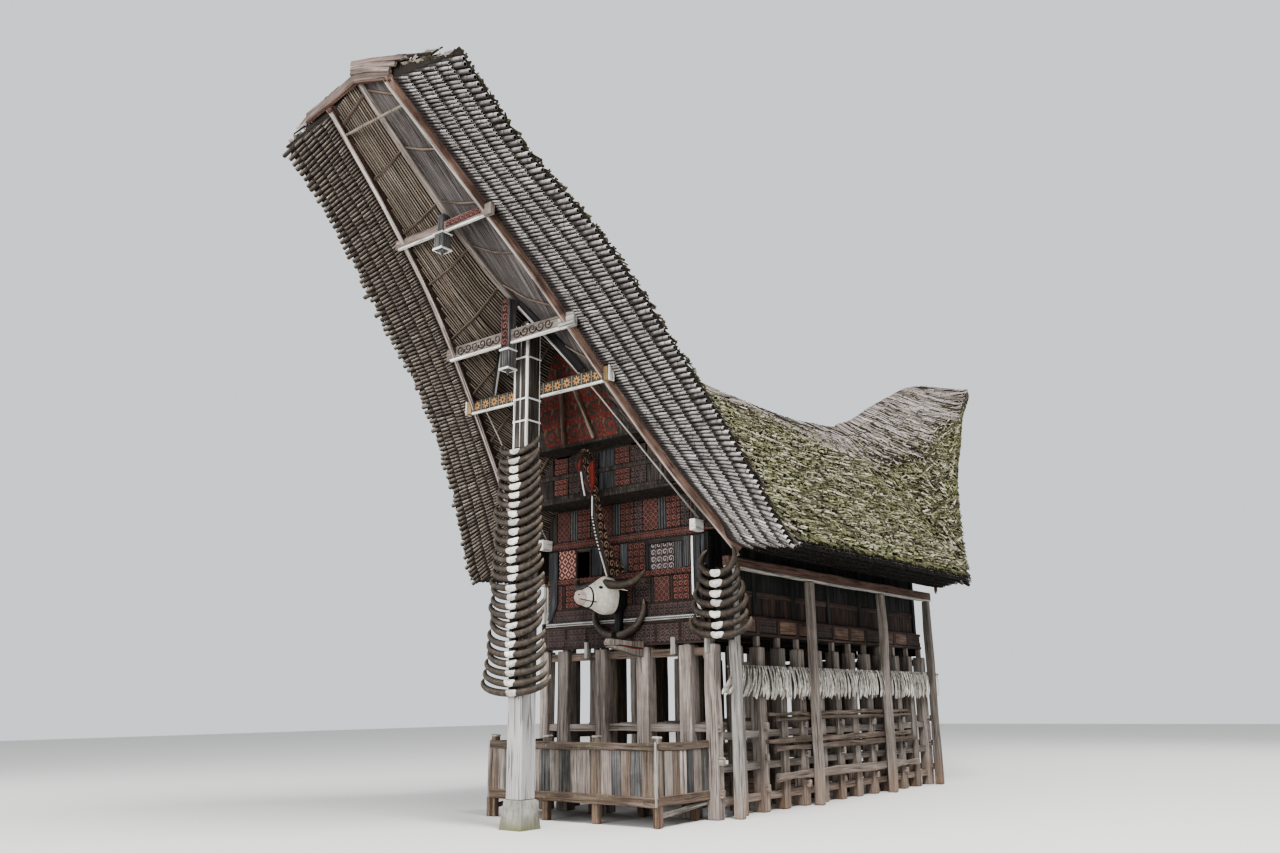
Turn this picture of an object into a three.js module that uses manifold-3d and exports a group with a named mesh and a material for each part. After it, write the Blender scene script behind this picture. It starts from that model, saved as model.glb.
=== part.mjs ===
// A tongkonan house: a timber room on piles under a saddle roof of bamboo tiles with two raised prows.
// Millimetres, +Z up. The origin is on the ground under the middle of the house; the front faces -Y.
import * as THREE from "three";
import { mergeVertices } from "three/addons/utils/BufferGeometryUtils.js";
import Module from "manifold-3d";

const wasm = await Module();
wasm.setup();

// Clearance between pieces that touch, and the two ends of the house
const GAP = 0.3;
const FRONT = -1;
const REAR = 1;

// Piles and their tie beams
const HALF_LENGTH = 4050;
const INNER_PILE_X = [-1290, -435, 435, 1290];
const PILE_SIZE = 240;
const SIDE_PILE_X = 1735;
const SIDE_PILE_SIZE = 200;
const SIDE_PILE_BAYS = 12;
const CROSS_FRAME_BAYS = 6;
const PILE_TOP = 2600;
const TENON_SIZE = 110;
const TIE_LEVELS = [300, 780, 1270];
const TIE_HEIGHT = 120;
const TIE_WIDTH = 90;
const TIE_OVERHANG = 75;
const LINTEL_BOTTOM = 2430;
const LINTEL_HEIGHT = 130;
const RAIL_HEIGHTS = [180, 240, 160];

// Floor and room
const FLOOR_FRAME_BOTTOM = 2780;
const FLOOR_BEAM = [120, 140];
const JOIST_BOTTOM = 2880;
const APRON = { bottom: 2620, inset: 20, thickness: 40 };
const FLOOR_BOTTOM = 3000;
const FLOOR_TOP = 3050;
const FLOOR_HALF_WIDTH = 1760;
const ROOM_HALF_WIDTH = 1700;
const WALL = 45;
const FACADE_Y = 4100;
const FACADE_TOP = 4450;
const SIDE_WALL_TOP = 4380;
const PLATE_WIDTH = 110;
const PLATE_TOP = 4560;
const WINDOW = { x0: -1030, x1: -700, z0: 3810, z1: 4290 };
const SHUTTER = { x0: 560, x1: 1260, z0: 3810, z1: 4290 };

// Outer posts that carry the eaves
const EAVE_POST_X = 1990;
const EAVE_POSTS_Y = [-3780, -1210, 1760, 4070];
const EAVE_POST_SIZE = 145;
const EAVE_BEAM = { halfWidth: 60, bottom: 3790, top: 3980, front: -3960, rear: 4230 };

// Roof: thickness values, and the curves of one prow from the room to the tip.
// Each curve holds distances from mid-length, half widths and heights at the same seven stations.
const ROOF_JOINT = 4000;
const SOFFIT_THICKNESS = 30;
const SOFFIT_SAG = 200;
const TILE_EDGE = 85;
const TILE_LAYERS = 5;
const ROOF_SAG = 60;
const ROOF_COURSES = 7;
const COURSE_RISE = 50;
const LAYER_RISE = 70;
const BARGE_WIDTH = 70;
const BARGE_ABOVE = 60;
const BARGE_BELOW = 130;
const REAR_WING_RATIO = 0.6;
const REAR_EAVE_RISE = 200;
const RIDGE_CAP = { halfWidth: 520, thickness: 95, sunk: 35 };
const RIDGE = { y: [4000, 4380, 5180, 6240, 7500, 8750, 10040], z: [8040, 8170, 8460, 8990, 9570, 10120, 10500] };
const APEX = { y: [4000, 4380, 5180, 6240, 7500, 8750, 10040], z: [7420, 7440, 7560, 7760, 8370, 9300, 10340] };
const BOARD = {
  y: [4000, 4380, 5180, 6240, 7500, 8750, 9970],
  x: [2240, 2080, 1740, 1390, 1045, 790, 594],
  z: [4060, 4470, 5330, 6520, 7910, 9045, 10065],
};
const DRIP = {
  y: [4000, 4380, 5180, 6240, 7500, 8750, 9890],
  x: [3430, 3400, 3060, 2680, 2437, 2060, 1937],
  z: [4000, 4010, 5310, 6720, 7965, 9000, 9960],
};
const STATIONS = BOARD.y.map((_, station) => station);
const BODY_Y = [-4000, -2000, 0, 2000, 4000];
const BODY_RIDGE_Z = [8040, 7810, 7780, 7810, 8040];
const BODY_APEX_Z = [7420, 7350, 7330, 7350, 7420];
const EAVE_INNER_X = [1780, 1900, 2250];
const RAFTER_FOOT_Z = 4440;

// Front post, deck and ornaments
const POST_Y = -6500;
const POST_SIZE = 300;
const POST_BASE = { bottom: 430, top: 345, height: 400 };
const POST_TOP = 7640;
const DECK = { halfWidth: 1690, front: -5480, back: -4170.3, railTop: 1150, bottom: 290, floor: 450 };

const group = new THREE.Group();

const look = (color, roughness = 0.85) => new THREE.MeshStandardMaterial({ color, roughness, metalness: 0 });
const greyTimber = look(0x8f8a82);
const brownTimber = look(0x7a6552);
const darkTimber = look(0x3a332d);
const carvedTimber = look(0x5a3028);
const redTimber = look(0x7c2f22);
const bambooTile = look(0x8c8c86);
const mossyThatch = look(0x5c5a45);
const liningBoard = look(0x74695a);
const concrete = look(0xa9a79a, 0.95);
const horn = look(0x4c4138, 0.6);
const bone = look(0xcfc8b8, 0.8);

// Solids that can be joined and cut
function toSolid(geometry) {
  const plain = geometry.clone();
  plain.deleteAttribute("normal");
  plain.deleteAttribute("uv");
  const merged = mergeVertices(plain, 1e-3);
  return new wasm.Manifold(new wasm.Mesh({
    numProp: 3,
    vertProperties: new Float32Array(merged.attributes.position.array),
    triVerts: new Uint32Array(merged.index.array),
  }));
}

function fromSolid(solid) {
  const mesh = solid.getMesh();
  const geometry = new THREE.BufferGeometry();
  geometry.setAttribute("position", new THREE.BufferAttribute(new Float32Array(mesh.vertProperties), 3));
  geometry.setIndex(new THREE.BufferAttribute(new Uint32Array(mesh.triVerts), 1));
  geometry.computeVertexNormals();
  return geometry;
}

const join = (pieces) => fromSolid(pieces.map(toSolid).reduce((sum, solid) => sum.add(solid)));

const cut = (piece, cutters) => fromSolid(
  cutters.map(toSolid).reduce((rest, solid) => rest.subtract(solid), toSolid(piece)),
);

const keepInside = (piece, space) => fromSolid(toSolid(piece).intersect(toSolid(space)));

const point = (x, y, z) => new THREE.Vector3(x, y, z);

function box(x0, x1, y0, y1, z0, z1) {
  const geometry = new THREE.BoxGeometry(x1 - x0, y1 - y0, z1 - z0);
  geometry.translate((x0 + x1) / 2, (y0 + y1) / 2, (z0 + z1) / 2);
  return geometry;
}

const postAt = (x, y, size, z0, z1) => box(x - size / 2, x + size / 2, y - size / 2, y + size / 2, z0, z1);

// Turns every face of a closed geometry round if its volume comes out negative.
function turnOutward(geometry) {
  const position = geometry.attributes.position;
  const index = geometry.index.array;
  const corner = [0, 1, 2].map(() => new THREE.Vector3());
  let volume = 0;
  for (let i = 0; i < index.length; i += 3) {
    corner.forEach((c, k) => c.fromBufferAttribute(position, index[i + k]));
    volume += corner[0].dot(corner[1].cross(corner[2]));
  }
  if (volume < 0) {
    for (let i = 0; i < index.length; i += 3) {
      [index[i], index[i + 1]] = [index[i + 1], index[i]];
    }
  }
  geometry.computeVertexNormals();
  return geometry;
}

// Triangles of a closed outline, seen along the axis that it faces most.
function capTriangles(outline) {
  const count = outline.length;
  const normal = new THREE.Vector3();
  outline.forEach((p, k) => normal.add(p.clone().cross(outline[(k + 1) % count])));
  const axis = ["x", "y", "z"].reduce((best, a) => (Math.abs(normal[a]) > Math.abs(normal[best]) ? a : best));
  const [u, v] = { x: ["y", "z"], y: ["z", "x"], z: ["x", "y"] }[axis];
  return THREE.ShapeUtils.triangulateShape(outline.map((p) => new THREE.Vector2(p[u], p[v])), []);
}

// Closed solid through a row of closed outlines that all have the same number of points.
function loft(outlines) {
  const count = outlines[0].length;
  const points = outlines.flat();
  const faces = [];
  for (let s = 0; s < outlines.length - 1; s += 1) {
    for (let k = 0; k < count; k += 1) {
      const a = s * count + k;
      const b = s * count + (k + 1) % count;
      const [a2, b2] = [a + count, b + count];
      const turned = points[b].distanceTo(points[a2]) < points[a].distanceTo(points[b2]) - 1e-6;
      faces.push(...(turned ? [a, b, a2, b, b2, a2] : [a, b, b2, a, b2, a2]));
    }
  }
  const last = (outlines.length - 1) * count;
  const windsUp = ([a, b, c]) => [(b + 1) % count === a, (c + 1) % count === b, (a + 1) % count === c].some(Boolean);
  const firstCap = capTriangles(outlines[0]);
  const lastCap = capTriangles(outlines[outlines.length - 1]);
  const against = firstCap.some(windsUp);
  firstCap.forEach(([a, b, c]) => faces.push(...(against ? [a, b, c] : [c, b, a])));
  const lastAgainst = lastCap.some(windsUp);
  lastCap.forEach(([a, b, c]) => faces.push(...(lastAgainst ? [c, b, a] : [a, b, c]).map((i) => i + last)));
  const geometry = new THREE.BufferGeometry();
  geometry.setAttribute("position", new THREE.Float32BufferAttribute(points.flatMap((p) => p.toArray()), 3));
  geometry.setIndex(faces);
  return turnOutward(geometry);
}

// Prism of an outline in the YZ plane between two values of x, and of one in the XZ plane between two of y.
const prismX = (outline, x0, x1) => loft([x0, x1].map((x) => outline.map(([y, z]) => point(x, y, z))));
const prismY = (outline, y0, y1) => loft([y0, y1].map((y) => outline.map(([x, z]) => point(x, y, z))));

// Round bar of changing radius along a row of points.
function bar(path, radii, sides) {
  let side = point(0, 1, 0);
  return loft(path.map((p, k) => {
    const ahead = path[Math.min(k + 1, path.length - 1)];
    const behind = path[Math.max(k - 1, 0)];
    const along = ahead.clone().sub(behind).normalize();
    if (k === 0 && Math.abs(along.y) > 0.7) {
      side = point(1, 0, 0);
    }
    side = side.clone().addScaledVector(along, -side.dot(along)).normalize();
    const other = along.clone().cross(side);
    return Array.from({ length: sides }, (_, i) => {
      const angle = (2 * Math.PI * (i + 0.5)) / sides;
      return p.clone()
        .addScaledVector(side, Math.cos(angle) * radii[k])
        .addScaledVector(other, Math.sin(angle) * radii[k]);
    });
  }));
}

function mirrored(geometry) {
  const copy = geometry.clone();
  copy.scale(-1, 1, 1);
  return turnOutward(copy);
}

function part(name, geometry, material) {
  const mesh = new THREE.Mesh(geometry, material);
  mesh.name = name;
  group.add(mesh);
}

function pair(name, geometry, material) {
  part(`right_${name}`, geometry, material);
  part(`left_${name}`, mirrored(geometry), material);
}

// Piles in rows, tied at three levels. Beams along the house run under the beams across it.
const crossFrameY = Array.from(
  { length: CROSS_FRAME_BAYS + 1 },
  (_, k) => -HALF_LENGTH + (2 * HALF_LENGTH * k) / CROSS_FRAME_BAYS,
);
const tieEnd = SIDE_PILE_X + SIDE_PILE_SIZE / 2 + TIE_OVERHANG;
const crossTie = (y, z, grow = 0) => box(
  -tieEnd - grow, tieEnd + grow, y - TIE_WIDTH / 2 - grow, y + TIE_WIDTH / 2 + grow, z - grow, z + TIE_HEIGHT + grow,
);

function crossFrame(y, withLintel) {
  const piles = INNER_PILE_X.flatMap((x) => [
    postAt(x, y, PILE_SIZE, 0, PILE_TOP),
    postAt(x, y, TENON_SIZE, PILE_TOP - 10, FLOOR_FRAME_BOTTOM - GAP),
  ]);
  const ties = TIE_LEVELS.map((z) => crossTie(y, z));
  const reach = SIDE_PILE_X - SIDE_PILE_SIZE / 2 - GAP;
  const lintel = box(-reach, reach, y - 20, y + 20, LINTEL_BOTTOM, LINTEL_BOTTOM + LINTEL_HEIGHT);
  return join([...piles, ...ties, ...(withLintel ? [lintel] : [])]);
}

crossFrameY.forEach((y, k) => {
  const atEnd = k === 0 || k === CROSS_FRAME_BAYS;
  part(`cross_frame_${k + 1}`, crossFrame(y, atEnd), greyTimber);
});

function sidePileRow() {
  const piles = Array.from({ length: SIDE_PILE_BAYS + 1 }, (_, k) => {
    const y = -HALF_LENGTH + (2 * HALF_LENGTH * k) / SIDE_PILE_BAYS;
    return [
      postAt(SIDE_PILE_X, y, SIDE_PILE_SIZE, 0, PILE_TOP),
      postAt(SIDE_PILE_X, y, TENON_SIZE * 0.8, PILE_TOP - 10, FLOOR_FRAME_BOTTOM - GAP),
    ];
  }).flat();
  const ties = TIE_LEVELS.map((z) => box(
    SIDE_PILE_X - TIE_WIDTH / 2, SIDE_PILE_X + TIE_WIDTH / 2, -HALF_LENGTH, HALF_LENGTH, z - TIE_HEIGHT, z - GAP,
  ));
  const mortises = crossFrameY.flatMap((y) => TIE_LEVELS.map((z) => crossTie(y, z, GAP)));
  return cut(join([...piles, ...ties]), mortises);
}

pair("pile_row", sidePileRow(), greyTimber);

// Loose rails that lie on the beam ends outside the right row of piles
const railX = SIDE_PILE_X + SIDE_PILE_SIZE / 2;
["lower", "middle", "upper"].forEach((level, k) => {
  const z = TIE_LEVELS[k] + TIE_HEIGHT + GAP;
  part(`right_rail_${level}`, box(railX + 2, railX + 72, -2850, 3300, z, z + RAIL_HEIGHTS[k]), greyTimber);
});

// Floor frame of long beams on the pile tenons, joists across them and an upright board at each end
function floorFrame() {
  const [width, height] = FLOOR_BEAM;
  const beamX = [...INNER_PILE_X, FLOOR_HALF_WIDTH - width / 2, width / 2 - FLOOR_HALF_WIDTH];
  const beams = beamX.map((x) => box(
    x - width / 2, x + width / 2, -FACADE_Y - 60, FACADE_Y + 60, FLOOR_FRAME_BOTTOM, FLOOR_FRAME_BOTTOM + height,
  ));
  const joists = crossFrameY.map((y) => box(
    -FLOOR_HALF_WIDTH, FLOOR_HALF_WIDTH, y - 45, y + 45, JOIST_BOTTOM, FLOOR_BOTTOM - GAP,
  ));
  const apronY = FACADE_Y + APRON.inset;
  const apron = box(
    -ROOM_HALF_WIDTH, ROOM_HALF_WIDTH, apronY, apronY + APRON.thickness, APRON.bottom, FLOOR_BOTTOM - GAP,
  );
  const frontApron = apron.clone().translate(0, -2 * apronY - APRON.thickness, 0);
  return join([...beams, ...joists, apron, frontApron]);
}

part("floor_frame", floorFrame(), darkTimber);
part("floor", box(-FLOOR_HALF_WIDTH, FLOOR_HALF_WIDTH, -FACADE_Y - 10, FACADE_Y + 10, FLOOR_BOTTOM, FLOOR_TOP),
  brownTimber);
pair("sill_board", box(FLOOR_HALF_WIDTH + GAP, FLOOR_HALF_WIDTH + 35, -FACADE_Y, FACADE_Y,
  FLOOR_FRAME_BOTTOM + 10, FLOOR_TOP + 40), carvedTimber);
part("front_ledge", box(-1690, 1690, -FACADE_Y - 65, -FACADE_Y - 10 - GAP, FLOOR_TOP - 30, FLOOR_TOP + 20),
  greyTimber);

// Carved beak under the floor, on the face of one front pile
function beamBeak() {
  const start = -HALF_LENGTH - PILE_SIZE / 2 - GAP;
  const outline = [[start, 2440], [start, 2690], [start - 300, 2680], [start - 560, 2690], [start - 860, 2700],
    [start - 910, 2650], [start - 880, 2570], [start - 560, 2530], [start - 260, 2470]];
  return prismX(outline, INNER_PILE_X[2] - 55, INNER_PILE_X[2] + 55);
}

part("beam_beak", beamBeak(), brownTimber);

// Room walls. A wall plate lies along the top of each side wall and shows at both ends.
const platePositions = { x0: ROOM_HALF_WIDTH - PLATE_WIDTH, x1: ROOM_HALF_WIDTH, y: FACADE_Y + 260 };
const wallPlate = (grow = 0) => box(
  platePositions.x0 - grow, platePositions.x1 + grow, -platePositions.y, platePositions.y,
  SIDE_WALL_TOP - 5 - grow, PLATE_TOP + grow,
);
const plateCutters = [wallPlate(GAP), mirrored(wallPlate(GAP))];
const opening = (o) => box(o.x0, o.x1, -FACADE_Y - 100, -FACADE_Y + 200, o.z0, o.z1);
const endWall = box(-ROOM_HALF_WIDTH, ROOM_HALF_WIDTH, -FACADE_Y, -FACADE_Y + WALL, FLOOR_TOP + GAP, FACADE_TOP);

part("front_wall", cut(endWall, [opening(WINDOW), opening(SHUTTER), ...plateCutters]), carvedTimber);
part("front_shutter", box(SHUTTER.x0 + GAP, SHUTTER.x1 - GAP, -FACADE_Y + 8, -FACADE_Y + 38,
  SHUTTER.z0 + GAP, SHUTTER.z1 - GAP), carvedTimber);

function rearWall() {
  const wall = box(-ROOM_HALF_WIDTH, ROOM_HALF_WIDTH, FACADE_Y - WALL, FACADE_Y, FLOOR_TOP + GAP, FACADE_TOP);
  return cut(wall, plateCutters);
}

part("rear_wall", rearWall(), darkTimber);

function sideWall() {
  const reach = FACADE_Y - WALL - GAP;
  const wall = box(ROOM_HALF_WIDTH - WALL, ROOM_HALF_WIDTH, -reach, reach, FLOOR_TOP + GAP, SIDE_WALL_TOP);
  return join([wall, wallPlate()]);
}

pair("wall", sideWall(), darkTimber);

// White boards planted on the front wall near its corners
function pilaster() {
  const outline = [[1450, 3400], [1450, 4330], [1620, 4330], [1620, 3420], [1690, 3150], [1600, 3110]];
  return prismY(outline, -FACADE_Y - 30, -FACADE_Y - GAP);
}

pair("pilaster", pilaster(), bone);

// Eave posts with the beam on top of them
function eaveFrame() {
  const posts = EAVE_POSTS_Y.map((y) => postAt(EAVE_POST_X, y, EAVE_POST_SIZE, 0, EAVE_BEAM.bottom + 5));
  const beam = box(EAVE_POST_X - EAVE_BEAM.halfWidth, EAVE_POST_X + EAVE_BEAM.halfWidth,
    EAVE_BEAM.front, EAVE_BEAM.rear, EAVE_BEAM.bottom, EAVE_BEAM.top);
  return join([...posts, beam]);
}

pair("eave_frame", eaveFrame(), greyTimber);

// Outline across a prow lining, shifted up by low and high. Its points run from edge to edge and back.
function liningOutline(end, station, low, high) {
  const sag = SOFFIT_SAG * (1 - station / (STATIONS.length - 1));
  const half = [
    [0, APEX.y[station], APEX.z[station]],
    [BOARD.x[station] / 2, (APEX.y[station] + BOARD.y[station]) / 2,
      (APEX.z[station] + BOARD.z[station]) / 2 - sag],
    [BOARD.x[station], BOARD.y[station], BOARD.z[station]],
  ];
  const place = (side, lift) => ([x, y, z]) => point(side * x, end * y, z + lift);
  return [
    ...half.slice(1).reverse().map(place(-1, low)),
    ...half.map(place(1, low)),
    ...half.slice(1).reverse().map(place(1, high)),
    ...half.map(place(-1, high)),
  ];
}

// The outlines with one more beyond the tip, so that what they cut is cut through its end as well
function pastTip(end, outlines) {
  const last = outlines[outlines.length - 1];
  return [...outlines, last.map((p) => point(p.x, p.y + end * 60, p.z + 49))];
}

const liningOutlines = (end, low, high) => STATIONS.map((station) => liningOutline(end, station, low, high));
const liningSolid = (end, low, high) => loft(liningOutlines(end, low, high));
const liningCutter = (end, low, high) => loft(pastTip(end, liningOutlines(end, low, high)));

// Pole under the top of the lining; it hangs lower where the lining is steep.
function ridgePole(end, radius) {
  const path = STATIONS.map((station) => point(
    0, end * Math.max(APEX.y[station], ROOF_JOINT + 8), APEX.z[station] - 95 + 9 * station,
  ));
  return bar(path, path.map(() => radius), 6);
}

const lining = (end) => join([liningSolid(end, 0, SOFFIT_THICKNESS), ridgePole(end, 50)]);

// Board along the edge of a prow lining; grow widens it to cut what meets it.
function bargeBoard(end, grow = 0) {
  const outline = (station, ahead = 0) => {
    const [x, y, z] = [BOARD.x[station], end * (BOARD.y[station] + ahead), BOARD.z[station] + ahead * 0.8];
    const [x0, x1] = [x + GAP - grow, x + BARGE_WIDTH + grow];
    const [z0, z1] = [z - BARGE_BELOW - grow, z + BARGE_ABOVE + grow];
    return [point(x0, y, z0), point(x1, y, z0), point(x1, y, z1), point(x0, y, z1)];
  };
  return loft([...STATIONS.map((station) => outline(station)), outline(STATIONS.length - 1, 70)]);
}

// Board across the tip of a prow that ties its two edge boards together
function tipFascia(end) {
  const line = [[-1250, 9975, 10130, 10240], [-630, 10010, 10080, 10290], [0, 10080, 10260, 10370],
    [630, 10010, 10080, 10290], [1250, 9975, 10130, 10240]];
  return loft(line.map(([x, y, z0, z1]) => [
    point(x, end * y, z0), point(x, end * (y + 45), z0), point(x, end * (y + 45), z1), point(x, end * y, z1),
  ]));
}

function edgeBoards(end) {
  return join([bargeBoard(end), mirrored(bargeBoard(end)), tipFascia(end)]);
}

// Half outline across the tile layers of a roof: steps under the layers, the drip edge and the courses on top.
function tileOutline(y, inner, drip, ridge, rise) {
  const steps = Array.from({ length: TILE_LAYERS }, (_, layer) => {
    const [near, far] = [layer / TILE_LAYERS, (layer + 1) / TILE_LAYERS];
    const x = (t) => inner.x + (drip.x - inner.x) * t;
    const z = (t) => inner.z + (drip.z - inner.z) * t;
    const yAt = (t) => inner.y + (drip.y - inner.y) * t;
    return [point(x(near), yAt(near), z(near) + rise / 2), point(x(far), yAt(far), z(far) - rise / 2)];
  }).flat();
  const top = (t, lift) => {
    const p = drip.clone().lerp(ridge, t);
    p.z += TILE_EDGE * (1 - t) - ROOF_SAG * 4 * t * (1 - t) + lift;
    return p;
  };
  const courses = Array.from({ length: ROOF_COURSES }, (_, course) => [
    top(course / ROOF_COURSES, COURSE_RISE), top((course + 1) / ROOF_COURSES, 0),
  ]).flat().slice(0, -1);
  return [...steps, ...courses, point(GAP, ridge.y, ridge.z)];
}

function dripAt(end, station) {
  const wing = end === FRONT ? 1 : REAR_WING_RATIO;
  const lift = end === FRONT ? 0 : REAR_EAVE_RISE * (1 - station / (STATIONS.length - 1));
  const x = BOARD.x[station] + (DRIP.x[station] - BOARD.x[station]) * wing;
  return point(x, end * DRIP.y[station], DRIP.z[station] + lift);
}

// Covering along the whole ridge, from tip to tip, sunk a little into the roof; grow widens it to cut the roof.
function ridgeCap(grow = 0) {
  const prow = (end) => STATIONS.slice(1).map(
    (s) => ({ ridge: point(0, end * RIDGE.y[s], RIDGE.z[s]), drip: dripAt(end, s) }),
  );
  const body = BODY_Y.map((y, k) => ({
    ridge: point(0, y, BODY_RIDGE_Z[k]),
    drip: dripAt(FRONT, 0).lerp(dripAt(REAR, 0), (y + ROOF_JOINT) / (2 * ROOF_JOINT)).setY(y),
  }));
  const outlines = [...prow(FRONT).reverse(), ...body, ...prow(REAR)].map(({ ridge, drip }) => {
    const halfWidth = RIDGE_CAP.halfWidth + grow;
    const edge = ridge.clone().lerp(drip.clone().setZ(drip.z + TILE_EDGE), halfWidth / drip.x);
    const low = -RIDGE_CAP.sunk - grow;
    const high = RIDGE_CAP.thickness;
    return [
      point(-halfWidth, edge.y, edge.z + low), point(0, ridge.y, ridge.z + low), point(halfWidth, edge.y, edge.z + low),
      point(halfWidth, edge.y, edge.z + high * 0.6), point(0, ridge.y, ridge.z + high),
      point(-halfWidth, edge.y, edge.z + high * 0.6),
    ];
  });
  return loft(grow > 0 ? pastTip(REAR, pastTip(FRONT, outlines.reverse()).reverse()) : outlines);
}

function prowRoof(end) {
  const outlines = STATIONS.map((station) => {
    const y = end * BOARD.y[station];
    const inner = point(BOARD.x[station] + BARGE_WIDTH + GAP, y, BOARD.z[station]);
    const ridge = point(0, end * RIDGE.y[station], RIDGE.z[station]);
    const outline = tileOutline(y, inner, dripAt(end, station), ridge, LAYER_RISE);
    return [point(GAP, end * APEX.y[station], APEX.z[station] - 60), point(BOARD.x[station], y, BOARD.z[station]),
      ...outline];
  });
  return cut(loft(outlines), [
    liningCutter(end, -600, SOFFIT_THICKNESS + GAP),
    bargeBoard(end, GAP),
    ridgeCap(GAP),
  ]);
}

// Slope over the room, hollow below, from the eave beam to the ridge
function bodyRoof() {
  const outlines = BODY_Y.map((y, k) => {
    const t = (y + ROOF_JOINT) / (2 * ROOF_JOINT);
    const station = y * (1 - GAP / ROOF_JOINT);
    const drip = point(0, station, 0).setX(dripAt(FRONT, 0).x * (1 - t) + dripAt(REAR, 0).x * t)
      .setZ(dripAt(FRONT, 0).z * (1 - t) + dripAt(REAR, 0).z * t);
    const [rafter, beamSide, eave] = EAVE_INNER_X;
    const seat = EAVE_BEAM.top + GAP;
    const inner = point(eave, station, seat - LAYER_RISE / 2);
    const outline = tileOutline(station, inner, drip, point(0, station, BODY_RIDGE_Z[k]), LAYER_RISE);
    return [point(GAP, station, BODY_APEX_Z[k]), point(rafter, station, RAFTER_FOOT_Z),
      point(beamSide, station, seat), ...outline];
  });
  return cut(loft(outlines), [ridgeCap(GAP)]);
}

part("front_lining", lining(FRONT), liningBoard);
part("rear_lining", lining(REAR), liningBoard);
part("front_edge_boards", edgeBoards(FRONT), brownTimber);
part("rear_edge_boards", edgeBoards(REAR), brownTimber);
part("right_front_roof", prowRoof(FRONT), bambooTile);
part("left_front_roof", mirrored(prowRoof(FRONT)), bambooTile);
part("right_rear_roof", prowRoof(REAR), bambooTile);
part("left_rear_roof", mirrored(prowRoof(REAR)), bambooTile);
pair("roof_slope", bodyRoof(), mossyThatch);
part("ridge_cap", ridgeCap(), greyTimber);

// Gable between the room and the lining, leaning out in steps
function gable(end) {
  const space = liningSolid(end, -3600, -GAP);
  const panel = (y0, y1, z0, z1, halfWidth) => keepInside(
    box(-halfWidth, halfWidth, Math.min(end * y0, end * y1), Math.max(end * y0, end * y1), z0, z1), space,
  );
  const lower = cut(panel(FACADE_Y - WALL, FACADE_Y, FACADE_TOP + GAP, 5080, 2100), plateCutters);
  const lowerLedge = panel(FACADE_Y - WALL, 4720, 5075, 5130, 2100);
  const middle = panel(4660, 4705, 5130 + GAP, 5900, 2100);
  const upperLedge = panel(4660, 5190, 5895, 5950, 2100);
  const top = keepInside(prismX([
    [end * 5130, 5945], [end * 5175, 5945], [end * 6000, 8200], [end * 5955, 8200],
  ], -1500, 1500), space);
  const struts = [-1, 1].map((side) => bar(
    [point(side * 330, end * 5200, 5945), point(side * 120, end * 5570, 6900)], [40, 40], 4));
  const upper = join([middle, upperLedge, top, ...struts]);
  return { lower: join([lower, lowerLedge]), upper: cut(upper, [ridgePole(end, 51)]) };
}

const frontGable = gable(FRONT);
const rearGable = gable(REAR);
part("front_gable_lower", frontGable.lower, carvedTimber);
part("front_gable_upper", frontGable.upper, redTimber);
part("rear_gable_lower", rearGable.lower, darkTimber);
part("rear_gable_upper", rearGable.upper, darkTimber);

// Beams across the front prow, notched round the edge boards, two of them with a hanging post on a wider foot
function crossBeam(y, halfWidth, z0, z1, thickness, hanger) {
  const beam = box(-halfWidth, halfWidth, -y - thickness, -y, z0, z1);
  const edges = bargeBoard(FRONT, GAP);
  const pieces = [beam];
  if (hanger) {
    const { half, below, foot, above } = hanger;
    const middle = -y - thickness / 2;
    pieces.push(
      box(-half, half, middle - half, middle + half, z0 - below, z1 + above),
      box(-100, 100, middle - 100, middle + 100, z0 - below, z0 - below + foot),
    );
  }
  const tiles = prowRoof(FRONT);
  tiles.translate(-GAP, 0, -GAP);
  return cut(join(pieces), [edges, mirrored(edges), liningSolid(FRONT, -GAP, 200), tiles, mirrored(tiles)]);
}

part("lower_prow_beam", crossBeam(6240, 1540, 6420, 6660, -POST_Y - POST_SIZE / 2 - 6240 - GAP), carvedTimber);
part("middle_prow_beam", crossBeam(6900, 1390, 7170, 7400, 80,
  { half: 90, below: 420, foot: 340, above: 525 }), carvedTimber);
part("upper_prow_beam", crossBeam(8330, 1050, 8540, 8720, 80,
  { half: 60, below: 280, foot: 280, above: 125 }), brownTimber);

const tipPole = bar([point(-660, -9735, 9800), point(660, -9735, 9800)], [28, 28], 8);
part("tip_pole", cut(tipPole, [bargeBoard(FRONT, GAP), mirrored(bargeBoard(FRONT, GAP))]), bambooTile);

// Tall post under the front prow on its tapered base, with the horns that hang on it
function postBase() {
  const ring = (size, z) => [[-1, -1], [1, -1], [1, 1], [-1, 1]].map(
    ([x, y]) => point((x * size) / 2, POST_Y + (y * size) / 2, z));
  return loft([ring(POST_BASE.bottom, 0), ring(POST_BASE.top, POST_BASE.height)]);
}

part("front_post_base", postBase(), concrete);
part("front_post", postAt(0, POST_Y, POST_SIZE, POST_BASE.height + GAP, POST_TOP), greyTimber);

// One pair of horns as a crescent, with the forehead plate between them
function hornPair(x, y, z, span, lift) {
  const steps = 8;
  const path = Array.from({ length: steps + 1 }, (_, k) => {
    const angle = ((k / steps) * 2 - 1) * 1.75;
    return point(x + (span / 2) * Math.sin(angle), y - 25 * Math.cos(angle), z + lift * (1 - Math.cos(angle)));
  });
  const radii = path.map((_, k) => 12 + 36 * (1 - Math.abs((2 * k) / steps - 1)));
  return bar(path, radii, 4);
}

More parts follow.
